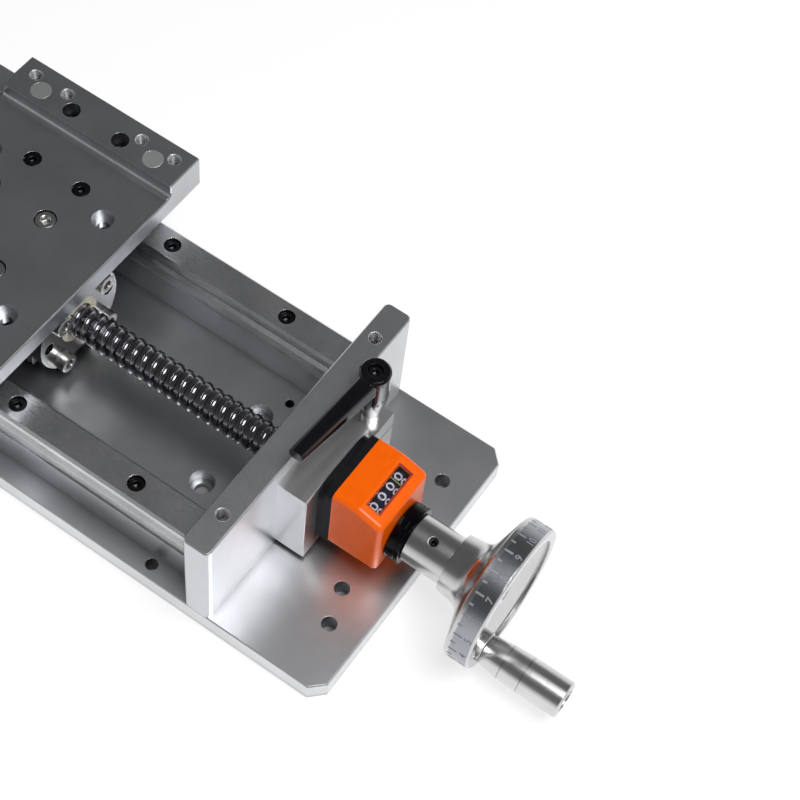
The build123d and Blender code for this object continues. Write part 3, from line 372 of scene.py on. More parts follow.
def satin_metal(
    name,
    colour,
    other,
    roughness,
    stretch=(1, 1, 1),
    grain=0.4 * mm,
    relief=0.0005 * mm,
    spread=0.03,
    lines=None,
    painted_shade_reach=None,
):
    """Metal with a fine grain, drawn out along a direction where it is brushed or milled."""
    finish = Finish(name, colour, metallic=1.0, roughness=roughness)
    finish.soften_edges(metal_edge)
    fine = finish.noise(grain, detail=3.0, stretch=stretch)
    finish.vary_roughness(fine, roughness - spread, roughness + spread)
    finish.vary_colour(finish.noise(metal_cloud, detail=4.0), other)
    # Painted highlight: edges lightened
    edge_highlight = tuple(min(1.0, c * highlight_gain + metal_highlight_lift) for c in colour)
    finish.wear_edges(metal_highlight_edge, edge_highlight, metal_highlight_share)
    if lines is not None:
        finish.bands("X", lines, turned_line_width, tuple(c * turned_line_shade for c in colour))
    # Painted shade: colour darker in holes and corners
    if painted_shade_reach is not None:
        finish.darken_hollows(painted_shade_reach, metal_painted_shade_share)
    finish.bump(fine, relief)
    return finish.material


def moulded(name, colour, other, roughness, relief=0.004 * mm, gloss=0.5):
    """Moulded or painted surface with a faint orange-peel texture."""
    finish = Finish(name, colour, metallic=0.0, roughness=roughness)
    finish.set("Specular IOR Level", gloss)
    finish.soften_edges(moulded_edge)
    finish.vary_colour(finish.noise(moulded_cloud, detail=3.0), other)
    # Painted highlight: edges lightened
    edge_highlight = tuple(min(1.0, c * highlight_gain + moulded_highlight_lift) for c in colour)
    finish.wear_edges(moulded_edge, edge_highlight, moulded_highlight_share)
    fine = finish.noise(moulded_grain, detail=2.0)
    finish.vary_roughness(fine, roughness - moulded_spread, roughness + moulded_spread)
    finish.bump(fine, relief)
    return finish.material


# Finishes of the nodes and of the pieces made here
crank_line_shares = (0.25, 0.5)
crank_low, crank_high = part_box("crank_handle")
crank_lines = [crank_low[0] + share * (crank_high[0] - crank_low[0]) for share in crank_line_shares]
along_x = (30, 1, 1)
along_y = (1, 30, 1)
plate_aluminium = satin_metal("plate_aluminium", (0.61, 0.62, 0.645), (0.56, 0.57, 0.59), 0.33)
# The base plate and the rails have painted shade in their holes and corners
base_aluminium = satin_metal("base_aluminium", (0.70, 0.71, 0.73), (0.63, 0.64, 0.66), 0.32, painted_shade_reach=7 * mm)
table_aluminium = satin_metal("table_aluminium", (0.52, 0.54, 0.56), (0.47, 0.48, 0.50), 0.34)
block_aluminium = satin_metal(
    "block_aluminium",
    (0.82, 0.82, 0.83),
    (0.78, 0.78, 0.79),
    0.30,
    stretch=along_y,
    grain=0.08 * mm,
    relief=0.0001 * mm,
    spread=0.02,
)
turned_aluminium = satin_metal(
    "turned_aluminium", (0.62, 0.62, 0.62), (0.57, 0.57, 0.57), 0.22, relief=turned_relief
)
crank_aluminium = satin_metal(
    "crank_aluminium", (0.68, 0.68, 0.69), (0.61, 0.61, 0.62), 0.24, relief=turned_relief, lines=crank_lines
)
rim_band_metal = satin_metal(
    "rim_band_metal", (0.36, 0.37, 0.40), (0.33, 0.34, 0.37), 0.24, relief=turned_relief
)
rail_steel = satin_metal(
    "rail_steel",
    (0.80, 0.81, 0.83),
    (0.66, 0.67, 0.69),
    0.27,
    stretch=along_x,
    grain=0.15 * mm,
    relief=0.0004 * mm,
    painted_shade_reach=9 * mm,
)
screw_steel = satin_metal("screw_steel", (0.24, 0.24, 0.26), (0.18, 0.18, 0.20), 0.15, relief=turned_relief)
bearing_steel = satin_metal(
    "bearing_steel", (0.50, 0.50, 0.51), (0.45, 0.45, 0.46), 0.24, relief=turned_relief
)
dark_fastener = satin_metal(
    "dark_fastener", (0.035, 0.035, 0.04), (0.025, 0.025, 0.025), 0.34, relief=turned_relief
)
bright_fastener = satin_metal(
    "bright_fastener", (0.52, 0.52, 0.51), (0.44, 0.44, 0.43), 0.3, relief=turned_relief
)
thread_metal = satin_metal("thread_metal", (0.60, 0.60, 0.61), (0.53, 0.53, 0.54), 0.42, relief=turned_relief)
plug_metal = satin_metal("plug_metal", (0.86, 0.87, 0.87), (0.78, 0.79, 0.79), 0.42)
lever_black = moulded("lever_black", (0.002, 0.002, 0.003), (0.004, 0.003, 0.005), 0.09, relief=faint_relief)
foam = moulded("foam", (0.003, 0.003, 0.005), (0.006, 0.007, 0.009), 0.6, gloss=0.15)
black_plastic = moulded("black_plastic", (0.001, 0.001, 0.002), (0.003, 0.003, 0.004), 0.12, gloss=0.12)
seal_rubber = moulded("seal_rubber", (0.012, 0.012, 0.012), (0.02, 0.02, 0.02), 0.6, gloss=0.3)
orange_plastic = moulded("orange_plastic", (0.94, 0.132, 0.0), (0.91, 0.120, 0.0), 0.24, gloss=0.3)
drum_plastic = moulded("drum_plastic", (0.012, 0.016, 0.045), (0.018, 0.024, 0.06), 0.5, gloss=0.2)
cream_plastic = moulded("cream_plastic", (0.78, 0.74, 0.60), (0.70, 0.66, 0.52), 0.45)
digit_white = moulded("digit_white", (0.85, 0.85, 0.92), (0.78, 0.78, 0.86), 0.5, relief=faint_relief)
scale_grey = moulded("scale_grey", (0.27, 0.28, 0.30), (0.23, 0.24, 0.26), 0.6, relief=faint_relief)
line_yellow = moulded("line_yellow", (0.60, 0.62, 0.12), (0.52, 0.54, 0.10), 0.45, relief=faint_relief)
# Dark red of the painted shade at the lens's lower and far edges
painted_shade_red = moulded("painted_shade_red", (0.42, 0.012, 0.012), (0.34, 0.010, 0.012), 0.4, relief=faint_relief)


def clear_plastic():
    """Clear window plastic."""
    finish = Finish("clear_lens", (0.98, 0.98, 0.98), metallic=0.0, roughness=0.04)
    finish.set("Transmission Weight", 1.0)
    finish.set("IOR", 1.45)
    finish.bump(finish.noise(lens_grain, detail=1.0), lens_relief)
    return finish.material


clear_lens = clear_plastic()

node_finishes = {
    "base_plate": base_aluminium,
    "front_end_plate": plate_aluminium,
    "rear_end_plate": plate_aluminium,
    "support_bar_near": plate_aluminium,
    "support_bar_far": plate_aluminium,
    "table_plate": table_aluminium,
    "hole_plugs": plug_metal,
    "rail_near": rail_steel,
    "rail_far": rail_steel,
    "guide_block_near": rail_steel,
    "guide_block_far": rail_steel,
    "guide_end_caps": black_plastic,
    "guide_end_seals": seal_rubber,
    "clamp_block": block_aluminium,
    "nut_bracket": plate_aluminium,
    "ball_nut": bearing_steel,
    "nut_wipers": cream_plastic,
    "ball_screw": screw_steel,
    "front_bearing_outer_ring": bearing_steel,
    "front_bearing_inner_ring": bearing_steel,
    "rear_bearing_outer_ring": bearing_steel,
    "rear_bearing_inner_ring": bearing_steel,
    "bearing_shields": bearing_steel,
    "rear_retaining_ring": dark_fastener,
    "bearing_lock_nut": dark_fastener,
    "indicator_gasket": foam,
    "indicator_back_plate": foam,
    "indicator_housing": orange_plastic,
    "indicator_lens": clear_lens,
    "drum_axle": bearing_steel,
    "digit_drum_1": drum_plastic,
    "digit_drum_2": drum_plastic,
    "digit_drum_3": drum_plastic,
    "digit_drum_4": drum_plastic,
    "indicator_hollow_shaft": black_plastic,
    "spacer_sleeve": turned_aluminium,
    "handwheel": turned_aluminium,
    "wheel_washer": bright_fastener,
    "crank_handle": crank_aluminium,
    "lever_handle": lever_black,
    "lever_stud": bright_fastener,
    "end_plate_screws": dark_fastener,
    "bar_screws": dark_fastener,
    "rail_screws": dark_fastener,
    "clamp_block_screws": dark_fastener,
    "guide_block_screws": dark_fastener,
    "bracket_screws": bright_fastener,
    "nut_screws": bright_fastener,
    "wheel_screw": bright_fastener,
    "crank_axle": bright_fastener,
    "collar_set_screw": dark_fastener,
    "sleeve_set_screw": dark_fastener,
    "lever_screw": dark_fastener,
    "lever_spring": bright_fastener,
}


def dress_nodes():
    """Gives each CAD node its finish."""
    for name, material in node_finishes.items():
        mesh = nodes[name].data
        mesh.materials.clear()
        mesh.materials.append(material)


# The spindle's axis, and what all the pieces made here share
axis_y = 0.0
axis_z = 35.0 * mm
skin = 0.02 * mm
sharp_angle = math.radians(35)

# Screws: shank radius, head radius, head height and socket width of each kind, then the plain nodes
screw_heads = {
    "M4": (2.0 * mm, 3.5 * mm, 4.0 * mm, 3.0 * mm),
    "M5": (2.5 * mm, 4.25 * mm, 5.0 * mm, 4.0 * mm),
    "M6": (3.0 * mm, 5.0 * mm, 6.0 * mm, 5.0 * mm),
    "lever": (2.0 * mm, 3.1 * mm, 3.2 * mm, 2.5 * mm),
    "crank": (3.0 * mm, 4.6 * mm, 3.0 * mm, 4.0 * mm),
}
cap_screw_nodes = [
    ("guide_block_screws", "table", "M4", (0, 0, 1), dark_fastener, "dark_fastener"),
    ("bracket_screws", "table", "M5", (0, 0, 1), bright_fastener, "bright_fastener"),
    ("nut_screws", "table", "M5", (1, 0, 0), bright_fastener, "bright_fastener"),
    ("rail_screws", "base", "M4", (0, 0, 1), dark_fastener, "dark_fastener"),
    ("clamp_block_screws", "base", "M5", (1, 0, 0), dark_fastener, "dark_fastener"),
    ("end_plate_screws", "base", "M6", (0, 0, -1), dark_fastener, "dark_fastener"),
    ("bar_screws", "base", "M5", (0, 0, -1), dark_fastener, "dark_fastener"),
    ("wheel_screw", "spindle", "M5", (1, 0, 0), bright_fastener, "bright_fastener"),
]
head_points = 60
shank_points = 24
one_screw_reach = 2.2
thread_pitch = 1.0 * mm
thread_height = 0.3 * mm
shank_overlap = 0.1 * mm
head_edge = 0.3 * mm
knurl_inset = 1.5 * head_edge
knurl_depth = 0.12 * mm
socket_floor_share = 0.45
socket_drill_share = 0.2
socket_drill_depth = 0.5 * mm
socket_mouth_break = 0.1 * mm

# The two headless set screws
set_screw_foot = 5.0 * mm
set_screw_radius = 2.0 * mm
set_screw_minor = 1.75 * mm
set_screw_pitch = 0.7 * mm
set_screw_top = 0.3 * mm
set_screw_edge = 1.7 * mm
set_screw_mouth = 1.3 * mm
set_screw_point = 1.2 * mm
set_screw_socket = 2.0 * mm
set_screw_break = 0.2 * mm
set_screw_floor_share = 0.5
set_screw_drill = 0.5 * mm
set_screw_drill_share = 0.4
sleeve_screw_tilt = math.radians(13.0)
sleeve_screw_reach = 9.4 * mm
collar_screw_reach = 11.3 * mm

# Threads in the tapped holes, and the places of those holes
tapped_radius = 3.0 * mm
tapped_minor = 2.5 * mm
lining_depth = 7.0 * mm
lining_plain = 1.0 * mm
lining_steps = 6
mouth_depth = 0.6 * mm
thread_start = 0.7 * mm
strip_hole_xs = (20.0 * mm, 37.2 * mm)
strip_hole_y = 68.3 * mm
end_plate_hole_y = 50.0 * mm

# Digits: those of the counter are as high as the part's drums allow, so smaller than in the photograph
drum_count = 4
drum_radius = 5.9 * mm
digit_count = 10
digit_step = math.radians(36.0)
digit_height = 3.4 * mm
digit_width = 3.3 * mm
digit_lead = 0.45 * mm
digit_weight = 0.012
digit_strip = 0.3 * mm
glyph_resolution = 6

# The counter's window, its line and its strip of painted shade, as distances along its slope, across it and
# below it
slope_angle = math.radians(18.0)
slope_start = 11.5 * mm
window_half = 11.5 * mm
lens_top = 0.2 * mm
lens_bottom = 1.2 * mm
edge_line_width = 0.45 * mm
# Dark red strip of painted shade, where the window pocket's wall lies in shade at the lens's lower and far
# edges
edge_shade_inset = 0.15 * mm
edge_shade_start = 0.95 * mm
edge_shade_turn = 7.25 * mm
edge_shade_end = 7.7 * mm
edge_shade_depth = 0.1 * mm
divider_start = 1.7 * mm
divider_end = 7.0 * mm
divider_middle = 4.62 * mm
divider_depth = 0.25 * mm

# Handwheel: web_fillet, dish_radius, dish_step and crank_boss_radius follow the photograph, not the part
hub_length = 10.3 * mm
hub_root_radius = 12.7 * mm
hub_tip_radius = 13.9 * mm
web_fillet = 6.0 * mm
wheel_edge = 0.7 * mm
wheel_core = 6.0 * mm
dish_radius = 27.0 * mm
dish_step = 1.5 * mm
dish_depth = 10.0 * mm
dish_floor_radius = 10.5 * mm
dish_fillet = 2.0 * mm
lip_edge = 0.3 * mm
crank_boss_radius = 6.8 * mm
fillet_steps = 8
rim_points = 180
rim_radius = 31.6 * mm
rim_back = 194.0 * mm

# Scale on the handwheel's rim
band_start = 196.4 * mm
band_end = 204.4 * mm
band_depth = 0.2 * mm
rim_numbers = 20
first_number_angle = math.radians(250.0)
number_middle = 202.4 * mm
number_height = 3.2 * mm
number_weight = 0.014
number_strip = 0.5 * mm
number_lift = 2 * skin
tick_width = 0.9 * mm
tick_back = 0.4 * mm
tick_lift = 3 * skin
long_tick_end = 199.8 * mm
short_tick_end = 198.0 * mm


def circle(radius, z, count, ripple=0.0):
    """Ring of points at height z; ripple draws every second point inwards."""
    points = []
    for i in range(count):
        turn = 2 * math.pi * i / count
        reach = radius - ripple * (i % 2)
        points.append(Vector((reach * math.cos(turn), reach * math.sin(turn), z)))
    return points


def hexagon(across_flats, z, count):
    """Ring of points on a hexagon at height z."""
    points = []
    for i in range(count):
        turn = 2 * math.pi * i / count
        reach = across_flats / 2 / math.cos(turn % (math.pi / 3) - math.pi / 6)
        points.append(Vector((reach * math.cos(turn), reach * math.sin(turn), z)))
    return points


def loft(form, rings, place, closed=False):
    """Surface through rings of equal point count, capped at both ends or bridged round when closed."""
    rows = [[form.verts.new(place @ point) for point in ring] for ring in rings]
    pairs = list(zip(rows, rows[1:]))
    if closed:
        pairs.append((rows[-1], rows[0]))
    else:
        form.faces.new(list(reversed(rows[0])))
        form.faces.new(rows[-1])
    for low, high in pairs:
        for i in range(len(low)):
            j = (i + 1) % len(low)
            form.faces.new((low[i], low[j], high[j], high[i]))


def facing(origin, direction):
    """Place whose own z axis points along direction."""
    turn = Vector(direction).to_track_quat("Z", "Y").to_matrix().to_4x4()
    return Matrix.Translation(Vector(origin)) @ turn


def add_piece(name, form, material, body, slot, *replaced):
    """Finishes a form as a piece that rides on a body and takes the given material; slot is not used."""
    bmesh.ops.recalc_face_normals(form, faces=form.faces)
    mesh = bpy.data.meshes.new(name)
    form.to_mesh(mesh)
    form.free()
    mesh.polygons.foreach_set("use_smooth", [True] * len(mesh.polygons))
    mesh.set_sharp_from_angle(angle=sharp_angle)
    mesh.materials.append(material)
    piece = bpy.data.objects.new(name, mesh)
    bpy.context.scene.collection.objects.link(piece)
    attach(piece, body)
    if replaced:
        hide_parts(*replaced)
    return piece


def node_points(name):
    """Every vertex of a CAD node, in the shared frame."""
    node = nodes[name]
    return [node.matrix_world @ vertex.co for vertex in node.data.vertices]


def screw_axes(name, axis, head_radius):
    """Middle of each screw of a node across its axis, and the heights of top and end along it."""
    groups = []
    points = node_points(name)
    for point in points:
        flat = point - axis * point.dot(axis)
        for group in groups:
            if (flat - group[0]).length < one_screw_reach * head_radius:
                group.append(flat)
                break
        else:
            groups.append([flat])
    middles = []
    for group in groups:
        low = Vector([min(p[i] for p in group) for i in range(3)])
        high = Vector([max(p[i] for p in group) for i in range(3)])
        middles.append((low + high) / 2)
    heights = [point.dot(axis) for point in points]
    return middles, max(heights), min(heights)


def socket_head(form, place, head_radius, head_height, across_flats):
    """Knurled cylinder head with a hexagon socket, its seat at the place's origin."""
    mouth = across_flats / 2 / math.cos(math.pi / 6)
    floor = head_height * socket_floor_share
    rings = [
        circle(across_flats * socket_drill_share, floor - socket_drill_depth, head_points),
        hexagon(across_flats, floor, head_points),
        hexagon(across_flats, head_height - head_edge, head_points),
        circle(mouth + socket_mouth_break, head_height, head_points),
        circle(head_radius - head_edge, head_height, head_points),
        circle(head_radius, head_height - head_edge, head_points),
        circle(head_radius, head_height - knurl_inset, head_points, knurl_depth),
        circle(head_radius, knurl_inset, head_points, knurl_depth),
        circle(head_radius, head_edge, head_points),
        circle(head_radius - head_edge / 2, 0, head_points),
    ]
    loft(form, rings, place)


def threaded_shank(form, place, radius, length):
    """Threaded shank below the place's origin, pointed at its end."""
    rings = [circle(radius - skin, shank_overlap, shank_points)]
    steps = int((length - thread_pitch) / thread_pitch)
    for step in range(steps):
        z = -(step + 0.5) * thread_pitch
        rings.append(circle(radius - skin, z, shank_points))
        rings.append(circle(radius - thread_height, z - thread_pitch / 2, shank_points))
    rings.append(circle(radius - 2 * thread_height, -length + skin, shank_points))
    loft(form, rings, place)


def make_cap_screws():
    """Socket head cap screws in place of the nodes that cap_screw_nodes lists."""
    for name, body, size, direction, material, slot in cap_screw_nodes:
        radius, head_radius, head_height, across_flats = screw_heads[size]
        axis = Vector(direction)
        middles, top, end = screw_axes(name, axis, head_radius)
        form = bmesh.new()
        for middle in middles:
            place = facing(middle + axis * (top - head_height), axis)
            socket_head(form, place, head_radius, head_height, across_flats)
            threaded_shank(form, place, radius, top - head_height - end)
        add_piece(name + "_detailed", form, material, body, slot, name)


def make_special_screws():
    """Lever screw and crank axle."""
    up = Vector((0, 0, 1))
    radius, head_radius, head_height, across_flats = screw_heads["lever"]
    low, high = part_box("lever_screw")
    seat = Vector(((low[0] + high[0]) / 2, (low[1] + high[1]) / 2, high[2] - head_height))
    form = bmesh.new()
    socket_head(form, facing(seat, up), head_radius, head_height, across_flats)
    threaded_shank(form, facing(seat, up), radius, seat.z - low[2])
    add_piece("lever_screw_detailed", form, dark_fastener, "clamp_stud", "dark_fastener", "lever_screw")
    ahead = Vector((1, 0, 0))
    radius, head_radius, head_height, across_flats = screw_heads["crank"]
    low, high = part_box("crank_axle")
    seat = Vector((high[0] - head_height, (low[1] + high[1]) / 2, (low[2] + high[2]) / 2))
    form = bmesh.new()
    socket_head(form, facing(seat, ahead), head_radius, head_height, across_flats)
    threaded_shank(form, facing(seat, ahead), radius, seat.x - low[0])
    add_piece("crank_axle_detailed", form, bright_fastener, "spindle", "bright_fastener", "crank_axle")


def make_set_screws():
    """Headless set screws of the sleeve and of the black collar."""
    sleeve_out = Vector((0, -math.sin(sleeve_screw_tilt), math.cos(sleeve_screw_tilt)))
    collar_out = Vector((0, 0, -1))
    places = (
        ("sleeve_set_screw", sleeve_out, sleeve_screw_reach),
        ("collar_set_screw", collar_out, collar_screw_reach),
    )
    for name, out, reach in places:
        low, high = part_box(name)
        foot = Vector(((low[0] + high[0]) / 2, axis_y, axis_z)) + out * set_screw_foot
        length = reach - set_screw_foot
        rings = [
            circle(set_screw_drill, length * set_screw_drill_share, head_points),
            hexagon(set_screw_socket, length * set_screw_floor_share, head_points),
            hexagon(set_screw_socket, length - set_screw_break, head_points),
            circle(set_screw_mouth, length, head_points),
            circle(set_screw_edge, length, head_points),
        ]
        for step in range(int(length / set_screw_pitch)):
            crest = length - set_screw_top - step * set_screw_pitch
            rings.append(circle(set_screw_radius - skin, crest, head_points))
            rings.append(circle(set_screw_minor, crest - set_screw_pitch / 2, head_points))
        rings.append(circle(set_screw_point, skin, head_points))
        form = bmesh.new()
        loft(form, rings, facing(foot, out))
        add_piece(name + "_detailed", form, dark_fastener, "spindle", "dark_fastener", name)


def thread_lining(form, place):
    """Helical thread inside a tapped hole, with a countersunk mouth at the place's origin."""
    count = shank_points
    outside = tapped_radius - skin
    rings = [
        circle(outside, -lining_depth, count),
        circle(outside, -skin, count),
        circle(outside - skin, -skin, count),
        circle(tapped_minor, -mouth_depth, count),
    ]
    steps = int((lining_depth - lining_plain) / (thread_pitch / lining_steps))
    for step in range(steps):
        z = -thread_start - step * thread_pitch / lining_steps
        ring = []
        for i, point in enumerate(circle(1.0, 0, count)):
            phase = (z / thread_pitch + i / count) % 1.0
            reach = tapped_minor + (outside - skin - tapped_minor) * abs(2 * phase - 1)
            ring.append(Vector((point.x * reach, point.y * reach, z)))
        rings.append(ring)
    rings.append(circle(tapped_minor, -lining_depth, count))
    loft(form, rings, place, closed=True)


def make_threads():
    """Threads in the tapped holes of the table's strips and of the end plates."""
    low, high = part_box("table_plate")
    middle_x = (low[0] + high[0]) / 2
    form = bmesh.new()
    for x in strip_hole_xs:
        for across in (-1, 1):
            for side in (-1, 1):
                mouth = (middle_x + across * x, side * strip_hole_y, high[2])
                thread_lining(form, facing(mouth, (0, 0, 1)))
    add_piece("strip_threads", form, thread_metal, "table", "plate_aluminium")
    for name in ("front_end_plate", "rear_end_plate"):
        low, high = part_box(name)
        form = bmesh.new()
        for side in (-1, 1):
            mouth = ((low[0] + high[0]) / 2, side * end_plate_hole_y, high[2])
            thread_lining(form, facing(mouth, (0, 0, 1)))
        add_piece(name + "_threads", form, thread_metal, "base", "plate_aluminium")


def glyph_form(text, height, width, weight, cut_along, cut_step):
    """Flat plain digits about their middle, in strips so that they can bend; a 1 isn't stretched to width."""
    curve = bpy.data.curves.new("glyph", "FONT")
    curve.body = text
    curve.resolution_u = glyph_resolution
    curve.offset = weight
    holder = bpy.data.objects.new("glyph", curve)
    bpy.context.scene.collection.objects.link(holder)
    bpy.context.view_layer.update()
    mesh = bpy.data.meshes.new_from_object(holder.evaluated_get(bpy.context.evaluated_depsgraph_get()))
    bpy.data.objects.remove(holder)
    bpy.data.curves.remove(curve)
    form = bmesh.new()
    form.from_mesh(mesh)
    bpy.data.meshes.remove(mesh)
    low = [min(v.co[i] for v in form.verts) for i in (0, 1)]
    high = [max(v.co[i] for v in form.verts) for i in (0, 1)]
    stretch = height / (high[1] - low[1])
    wide = stretch if width is None or text == "1" else width / (high[0] - low[0])
    for vertex in form.verts:
        vertex.co.x = (vertex.co.x - (low[0] + high[0]) / 2) * wide
        vertex.co.y = (vertex.co.y - (low[1] + high[1]) / 2) * stretch
    bmesh.ops.triangulate(form, faces=form.faces)
    reach = max(abs(v.co[cut_along]) for v in form.verts)
    across = Vector((1, 0, 0)) if cut_along == 0 else Vector((0, 1, 0))
    cuts = int(reach / cut_step)
    for step in range(-cuts, cuts + 1):
        geometry = form.verts[:] + form.edges[:] + form.faces[:]
        bmesh.ops.bisect_plane(form, geom=geometry, plane_co=across * step * cut_step, plane_no=across)
    return form


def wrap_into(target, form, bend):
    """Adds a flat form to a target with every point moved by bend, as a thin closed skin."""
    rows = []
    for lift in (0.0, skin):
        rows.append({v.index: target.verts.new(bend(v.co.x, v.co.y, lift)) for v in form.verts})
    for face in form.faces:
        target.faces.new([rows[1][v.index] for v in face.verts])
        target.faces.new([rows[0][v.index] for v in reversed(face.verts)])
    for edge in form.edges:
        if len(edge.link_faces) == 1:
            a, b = edge.verts[0].index, edge.verts[1].index
            target.faces.new((rows[0][a], rows[0][b], rows[1][b], rows[1][a]))


def make_drum_digits():
    """White digits 0 to 9 round each drum, the zeros at the window at rest."""
    for index in range(drum_count):
        name = f"digit_drum_{index + 1}"
        low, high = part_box(name)
        axis_x = (low[0] + high[0]) / 2
        height = (low[2] + high[2]) / 2
        middle_y = (low[1] + high[1]) / 2
        target = bmesh.new()
        for digit in range(digit_count):
            form = glyph_form(str(digit), digit_height, digit_width, digit_weight, 1, digit_strip)
            form.verts.index_update()

            def bend(x, y, lift):
                turn = slope_angle - digit_step * digit - (y + digit_lead) / drum_radius
                reach = drum_radius + skin + lift
                along = reach * math.sin(turn)
                up = reach * math.cos(turn)
                return Vector((axis_x + along, middle_y + x, height + up))

            wrap_into(target, form, bend)
            form.free()
        add_piece(f"drum_{index + 1}_digits", target, digit_white, f"drum_{index + 1}", "drum_plastic")


def rounded(before, corner, after, radius):
    """Points of the arc that rounds a corner of an outline."""
    into = (corner - before).normalized()
    away = (after - corner).normalized()
    turn = into.angle(away)
    start = -into * radius * math.tan(turn / 2)
    end = away * radius * math.tan(turn / 2)
    centre = (away - into).normalized() * radius / math.cos(turn / 2)
    points = []
    for step in range(fillet_steps + 1):
        share = step / fillet_steps
        spoke = (start - centre) * math.sin((1 - share) * turn) + (end - centre) * math.sin(share * turn)
        points.append(corner + centre + spoke / math.sin(turn))
    return points


def make_handwheel():
    """Handwheel with the photograph's web, wide dish and crank boss; the boss stands a skin off the rim."""
    low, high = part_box("handwheel")
    back, front = low[0], high[0]
    root = Vector((back, hub_root_radius))
    tip = Vector((back + hub_length, hub_tip_radius))
    rim = Vector((rim_back, rim_radius - wheel_edge))
    lip = Vector((front - dish_step, dish_radius))
    floor = Vector((front - dish_depth, dish_floor_radius))
    core = Vector((front - dish_depth, wheel_core))
    outline = [Vector((back, wheel_core)), root]
    outline += rounded(root, tip, rim, web_fillet)
    outline += [rim, Vector((rim_back + wheel_edge, rim_radius)), Vector((front - wheel_edge, rim_radius))]
    outline += [Vector((front, rim_radius - wheel_edge)), Vector((front, dish_radius + lip_edge))]
    outline += [Vector((front - lip_edge, dish_radius)), lip]
    outline += rounded(lip, floor, core, dish_fillet)
    outline.append(core)
    form = bmesh.new()
    loft(form, [circle(p.y, p.x, rim_points) for p in outline], facing((0, axis_y, axis_z), (1, 0, 0)))
    low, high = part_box("crank_axle")
    middle = Vector((front, (low[1] + high[1]) / 2, (low[2] + high[2]) / 2))
    crank_circle = math.hypot(middle.y - axis_y, middle.z - axis_z)
    fall = (dish_depth - dish_step) / (dish_radius - dish_floor_radius)
    depth = dish_step + fall * (dish_radius - crank_circle + crank_boss_radius) + lip_edge
    rings = [
        circle(crank_boss_radius, -depth, head_points),
        circle(crank_boss_radius, -lip_edge, head_points),
        circle(crank_boss_radius - lip_edge, skin, head_points),
    ]
    loft(form, rings, facing(middle, (1, 0, 0)))
    add_piece("handwheel_turned", form, turned_aluminium, "spindle", "turned_aluminium", "handwheel")


def on_rim(angle, x, lift):
    """Point on the handwheel's rim; the angle runs from +Y to +Z."""
    reach = rim_radius + lift
    return Vector((x, axis_y + reach * math.cos(angle), axis_z + reach * math.sin(angle)))


def make_rim_scale():
    """Polished band on the rim with ticks and plain numbers."""
    form = bmesh.new()
    rings = []
    for x, lift in ((band_start, -band_depth), (band_start, skin), (band_end, skin), (band_end, -band_depth)):
        rings.append([on_rim(2 * math.pi * i / rim_points, x, lift) for i in range(rim_points)])
    loft(form, rings, Matrix.Identity(4), closed=True)
    add_piece("rim_band", form, rim_band_metal, "spindle", "turned_aluminium")
    marks = bmesh.new()
    step = 2 * math.pi / rim_numbers
    for tick in range(2 * rim_numbers):
        angle = first_number_angle - tick * step / 2
        end = long_tick_end if tick % 2 == 0 else short_tick_end
        half = tick_width / 2 / rim_radius
        rings = []
        for x in (band_start - tick_back, (band_start + end) / 2, end):
            corners = ((-half, 0.0), (half, 0.0), (half, tick_lift), (-half, tick_lift))
            rings.append([on_rim(angle + side, x, lift) for side, lift in corners])
        loft(marks, rings, Matrix.Identity(4))
    for number in range(rim_numbers):
        middle = first_number_angle - number * step
        form = glyph_form(str(number), number_height, None, number_weight, 0, number_strip)
        form.verts.index_update()

        def bend(x, y, lift):
            return on_rim(middle - x / rim_radius, number_middle - y, number_lift + lift)

        wrap_into(marks, form, bend)
        form.free()
    add_piece("rim_scale", marks, scale_grey, "spindle", "turned_aluminium")


def window_point(along, y, depth):
    """Point on the window side of the indicator: along the slope from its upper break, and below it."""
    down = Vector((math.cos(slope_angle), 0, -math.sin(slope_angle)))
    out = Vector((math.sin(slope_angle), 0, math.cos(slope_angle)))
    low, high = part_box("indicator_housing")
    corner = Vector((low[0] + slope_start, 0, high[2]))
    return corner + down * along + Vector((0, y, 0)) - out * depth


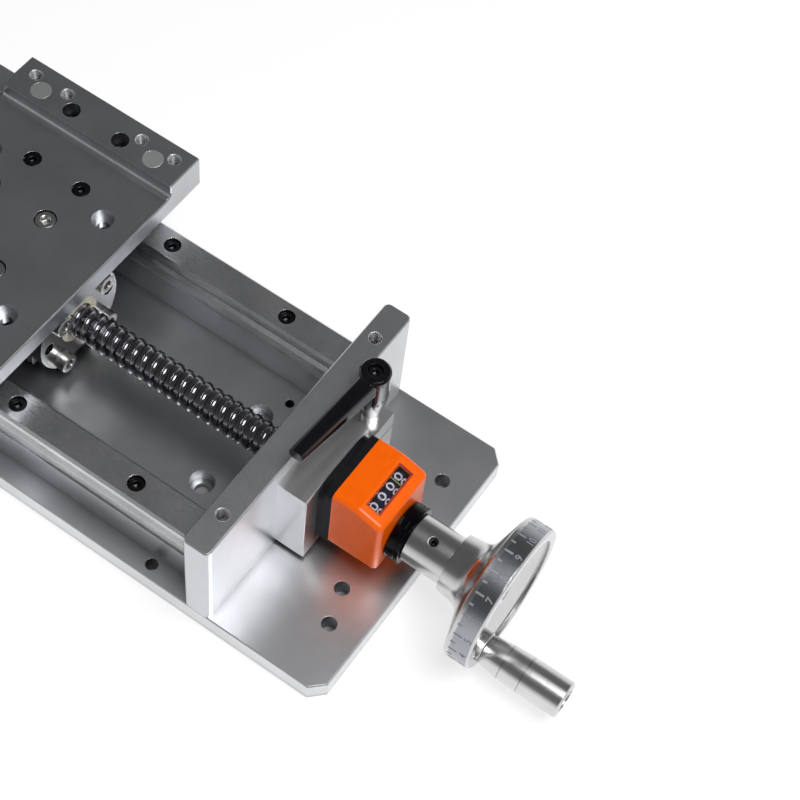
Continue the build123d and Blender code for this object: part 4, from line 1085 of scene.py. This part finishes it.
def window_strip(form, along, ys, depths):
    """Thin strip in the window between two distances along the slope, two y values and two depths."""
    rings = []
    for share in (0.0, 0.5, 1.0):
        s = along[0] + share * (along[1] - along[0])
        corners = ((ys[0], depths[1]), (ys[1], depths[1]), (ys[1], depths[0]), (ys[0], depths[0]))
        rings.append([window_point(s, y, depth) for y, depth in corners])
    loft(form, rings, Matrix.Identity(4))


def make_window_lines():
    """Yellow line before the last drum, under the lens, and a dark red strip of painted shade on its lower
    and far edges.
    """
    half = edge_line_width / 2
    form = bmesh.new()
    across = (divider_middle - half, divider_middle + half)
    under = (lens_bottom, lens_bottom + divider_depth)
    window_strip(form, (divider_start, divider_end), across, under)
    add_piece("window_divider", form, line_yellow, "base", "drum_plastic")
    # Painted shade along the lens's lower and far edges
    form = bmesh.new()
    far = window_half - edge_shade_inset
    over = (lens_top - edge_shade_depth, lens_top)
    window_strip(form, (edge_shade_turn, edge_shade_end), (-far, far), over)
    window_strip(form, (edge_shade_start, edge_shade_turn), (far - edge_line_width, far), over)
    add_piece("window_edge_shade", form, painted_shade_red, "base", "orange_plastic")


def make_spring():
    """Coil spring round the lever screw: 13.8 mm long, and 9.8 mm with the handle lifted."""
    low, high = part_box("lever_spring")
    middle = Vector(((low[0] + high[0]) / 2, (low[1] + high[1]) / 2, 0))
    wire = 0.42 * mm
    coil = 2.6 * mm
    turns = 10
    steps = 24
    sides = 10
    form = bmesh.new()
    rings = []
    start = low[2] + wire + skin
    rise = high[2] - low[2] - 2 * (wire + skin)
    for i in range(turns * steps + 1):
        share = i / (turns * steps)
        turn = 2 * math.pi * i / steps
        out = Vector((math.cos(turn), math.sin(turn), 0))
        centre = middle + out * coil + Vector((0, 0, start + rise * share))
        ring = []
        for side in range(sides):
            lean = 2 * math.pi * side / sides
            ring.append(centre + out * wire * math.cos(lean) + Vector((0, 0, wire * math.sin(lean))))
        rings.append(ring)
    loft(form, rings, Matrix.Identity(4))
    spring = add_piece(
        "lever_coil_spring", form, bright_fastener, "clamp_stud", "bright_fastener", "lever_spring"
    )
    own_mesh(spring)


bpy.context.scene.view_settings.view_transform = "Standard"
make_camera()
make_world()
make_floor()
make_patch()
make_lamp("key_lamp", lamp_direction, lamp_distance, lamp_width, lamp_length, lamp_watts)
dress_nodes()
make_cap_screws()
make_special_screws()
make_set_screws()
make_threads()
make_drum_digits()
make_handwheel()
make_rim_scale()
make_window_lines()
make_spring()
